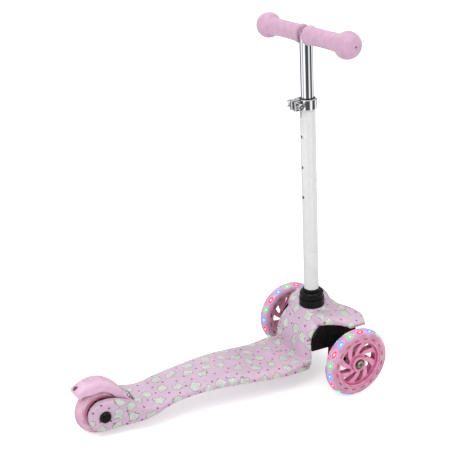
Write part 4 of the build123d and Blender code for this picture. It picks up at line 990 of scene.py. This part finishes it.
crown = []
crownSteps = hoodLook["crownSteps"]
for number in range(crownSteps):
    share = hoodLook["ribStart"] + (hoodLook["ribEnd"] - hoodLook["ribStart"]) * number / (crownSteps - 1)
    hit = hoodTop(hoodLow.x + share * (hoodHigh.x - hoodLow.x) * hoodLook["crownLength"], 0)
    crown.append((hit.x, 0.0, hit.z - hoodLook["ribSink"]))
crownLine = bpy.data.meshes.new("crownLine")
crownLine.from_pydata(crown, [(number, number + 1) for number in range(len(crown) - 1)], [])
rib = lens("ribLens", hoodLook["ribHalfWidth"], hoodLook["ribHalfLength"], hoodLook["ribHalfHeight"])
ribPlaces = getPlaces(rib.data)
# The ribs bend as the hood's back really does, measured at their ends.
middle, ribEnd = Vector(crown[crownSteps // 2]), hoodLook["ribHalfLength"] * hoodLook["bendAt"]
bend = (middle.z - hoodTop(middle.x, ribEnd).z) / hoodDrop(ribEnd, hoodLook)
ribPlaces[:, 2] -= hoodDrop(ribPlaces[:, 1], hoodLook) * bend
setPlaces(rib.data, ribPlaces)
ribValues = {"Piece": rib, "Count": hoodLook["ribCount"], "Material": finishes["brake_plastic"]}
brakeRibs = grown("brakeRibs", rowTree, ribValues, crownLine)
bpy.data.objects.remove(rib)
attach(brakeRibs, "brake")
print("brake built")


# Floor, light and camera

stageLook = {"floor": (0.95, 0.95, 0.95, 1), "floorHalf": 6.0, "sky": 1.0, "lift": 0.40, "panelGrey": 0.07,
             "flags": ((0.085, 0.12, 0.245, 0.28), (0.315, 0.35, 0.42, 0.455), (0.52, 0.56, 0.64, 0.68),
                       (0.73, 0.77, 0.83, 0.87), (0.93, 0.96, 0.985, 0.998))}


def addPanels(tree, share):
    # Dark flags stand between the soft boxes; only shiny pieces see them.
    panels = tree.nodes.new("ShaderNodeValToRGB")
    panels.color_ramp.elements[0].color = (1, 1, 1, 1)
    panels.color_ramp.elements[1].color = (1, 1, 1, 1)
    grey = stageLook["panelGrey"]
    for start, dark, darkEnd, end in stageLook["flags"]:
        for position, value in ((start, 1.0), (dark, grey), (darkEnd, grey), (end, 1.0)):
            element = panels.color_ramp.elements.new(position)
            element.color = (value, value, value * 1.02, 1)
    tree.links.new(share, panels.inputs[0])
    return panels.outputs["Color"]


floorMesh = bpy.data.meshes.new("floor")
half = stageLook["floorHalf"]
floorMesh.from_pydata([(-half, -half, 0), (half, -half, 0), (half, half, 0), (-half, half, 0)], [], [(0, 1, 2, 3)])
floor = placed("floor", floorMesh)
floorPaint, floorTree, floorShader, floorPlace = startMaterial("paleFloor")
floorTone = mixColour(floorTree, noise(floorTree, floorPlace, 3.0), stageLook["floor"], (0.95, 0.95, 0.95, 1))
floorShader.inputs["Roughness"].default_value = 0.9
floorShader.inputs["Specular IOR Level"].default_value = 0.0
floorAxes = splitAxes(floorTree, floorPlace)
floorBearing = math2(floorTree, "ARCTAN2", floorAxes["Y"], floorAxes["X"])
floorShare = math2(floorTree, "ADD", math2(floorTree, "DIVIDE", floorBearing, 2 * math.pi), 0.5)
floorReach = floorTree.nodes.new("ShaderNodeVectorMath")
floorReach.operation = "LENGTH"
floorTree.links.new(floorPlace, floorReach.inputs[0])
nearFloor = fade(floorTree, floorReach.outputs["Value"], 0.45, 0.75)
reflected = mixColour(floorTree, nearFloor, (0.30, 0.30, 0.30, 1), addPanels(floorTree, floorShare))
floorPath = floorTree.nodes.new("ShaderNodeLightPath")
floorColour = mixColour(floorTree, floorPath.outputs["Is Glossy Ray"], floorTone, reflected)
floorTree.links.new(floorColour, floorShader.inputs["Base Color"])
floorTree.links.new(floorColour, floorShader.inputs["Emission Color"])
floorTree.links.new(math2(floorTree, "MULTIPLY", floorPath.outputs["Is Camera Ray"], stageLook["lift"]),
                    floorShader.inputs["Emission Strength"])
floorMesh.materials.append(floorPaint)

world = bpy.data.worlds.new("studio")
bpy.context.scene.world = world
world.use_nodes = True
sky = world.node_tree
background = sky.nodes["Background"]
background.inputs["Strength"].default_value = stageLook["sky"]
direction = splitAxes(sky, sky.nodes.new("ShaderNodeTexCoord").outputs["Generated"])
bearing = math2(sky, "ARCTAN2", direction["Y"], direction["X"])
turnShare = math2(sky, "ADD", math2(sky, "DIVIDE", bearing, 2 * math.pi), 0.5)
path = sky.nodes.new("ShaderNodeLightPath")
overhead = fade(sky, direction["Z"], 0.60, 0.80)
studio = mixColour(sky, overhead, addPanels(sky, turnShare), (0.95, 0.95, 0.95, 1))
seen = mixColour(sky, path.outputs["Is Glossy Ray"], (1, 1, 1, 1), studio)
sky.links.new(seen, background.inputs["Color"])


def softBox(name, place, aim, size, power):
    light = bpy.data.lights.new(name, "AREA")
    light.shape = "RECTANGLE"
    light.size = size[0]
    light.size_y = size[1]
    light.energy = power
    lamp = placed(name, light)
    lamp.location = place
    lamp.rotation_euler = (Vector(aim) - Vector(place)).to_track_quat("-Z", "Y").to_euler()


softBox("keyLight", (-1.1, -0.9, 1.9), (0, 0, 0.1), (1.0, 1.0), 13)
softBox("topLight", (0.2, 0.1, 2.2), (0, 0, 0), (2.0, 2.0), 9)

viewLook = {"target": (0.00915, 0, 0.32349), "azimuth": -29.14, "elevation": 20.7, "distance": 1.4154, "roll": 0.16,
            "lens": 71.8, "shiftX": -0.0024, "shiftY": -0.0216}
camera = placed("camera", bpy.data.cameras.new("camera"))
azimuth, elevation = math.radians(viewLook["azimuth"]), math.radians(viewLook["elevation"])
back = Vector((math.sin(azimuth) * math.cos(elevation), -math.cos(azimuth) * math.cos(elevation),
               math.sin(elevation)))
camera.location = Vector(viewLook["target"]) + back * viewLook["distance"]
camera.rotation_mode = "QUATERNION"
roll = Quaternion((0, 0, 1), math.radians(viewLook["roll"]))
camera.rotation_quaternion = (-back).to_track_quat("-Z", "Y") @ roll
camera.data.sensor_width = 36
camera.data.lens = viewLook["lens"]
camera.data.shift_x = viewLook["shiftX"]
camera.data.shift_y = viewLook["shiftY"]
bpy.context.scene.camera = camera
bpy.context.scene.view_settings.view_transform = "Standard"
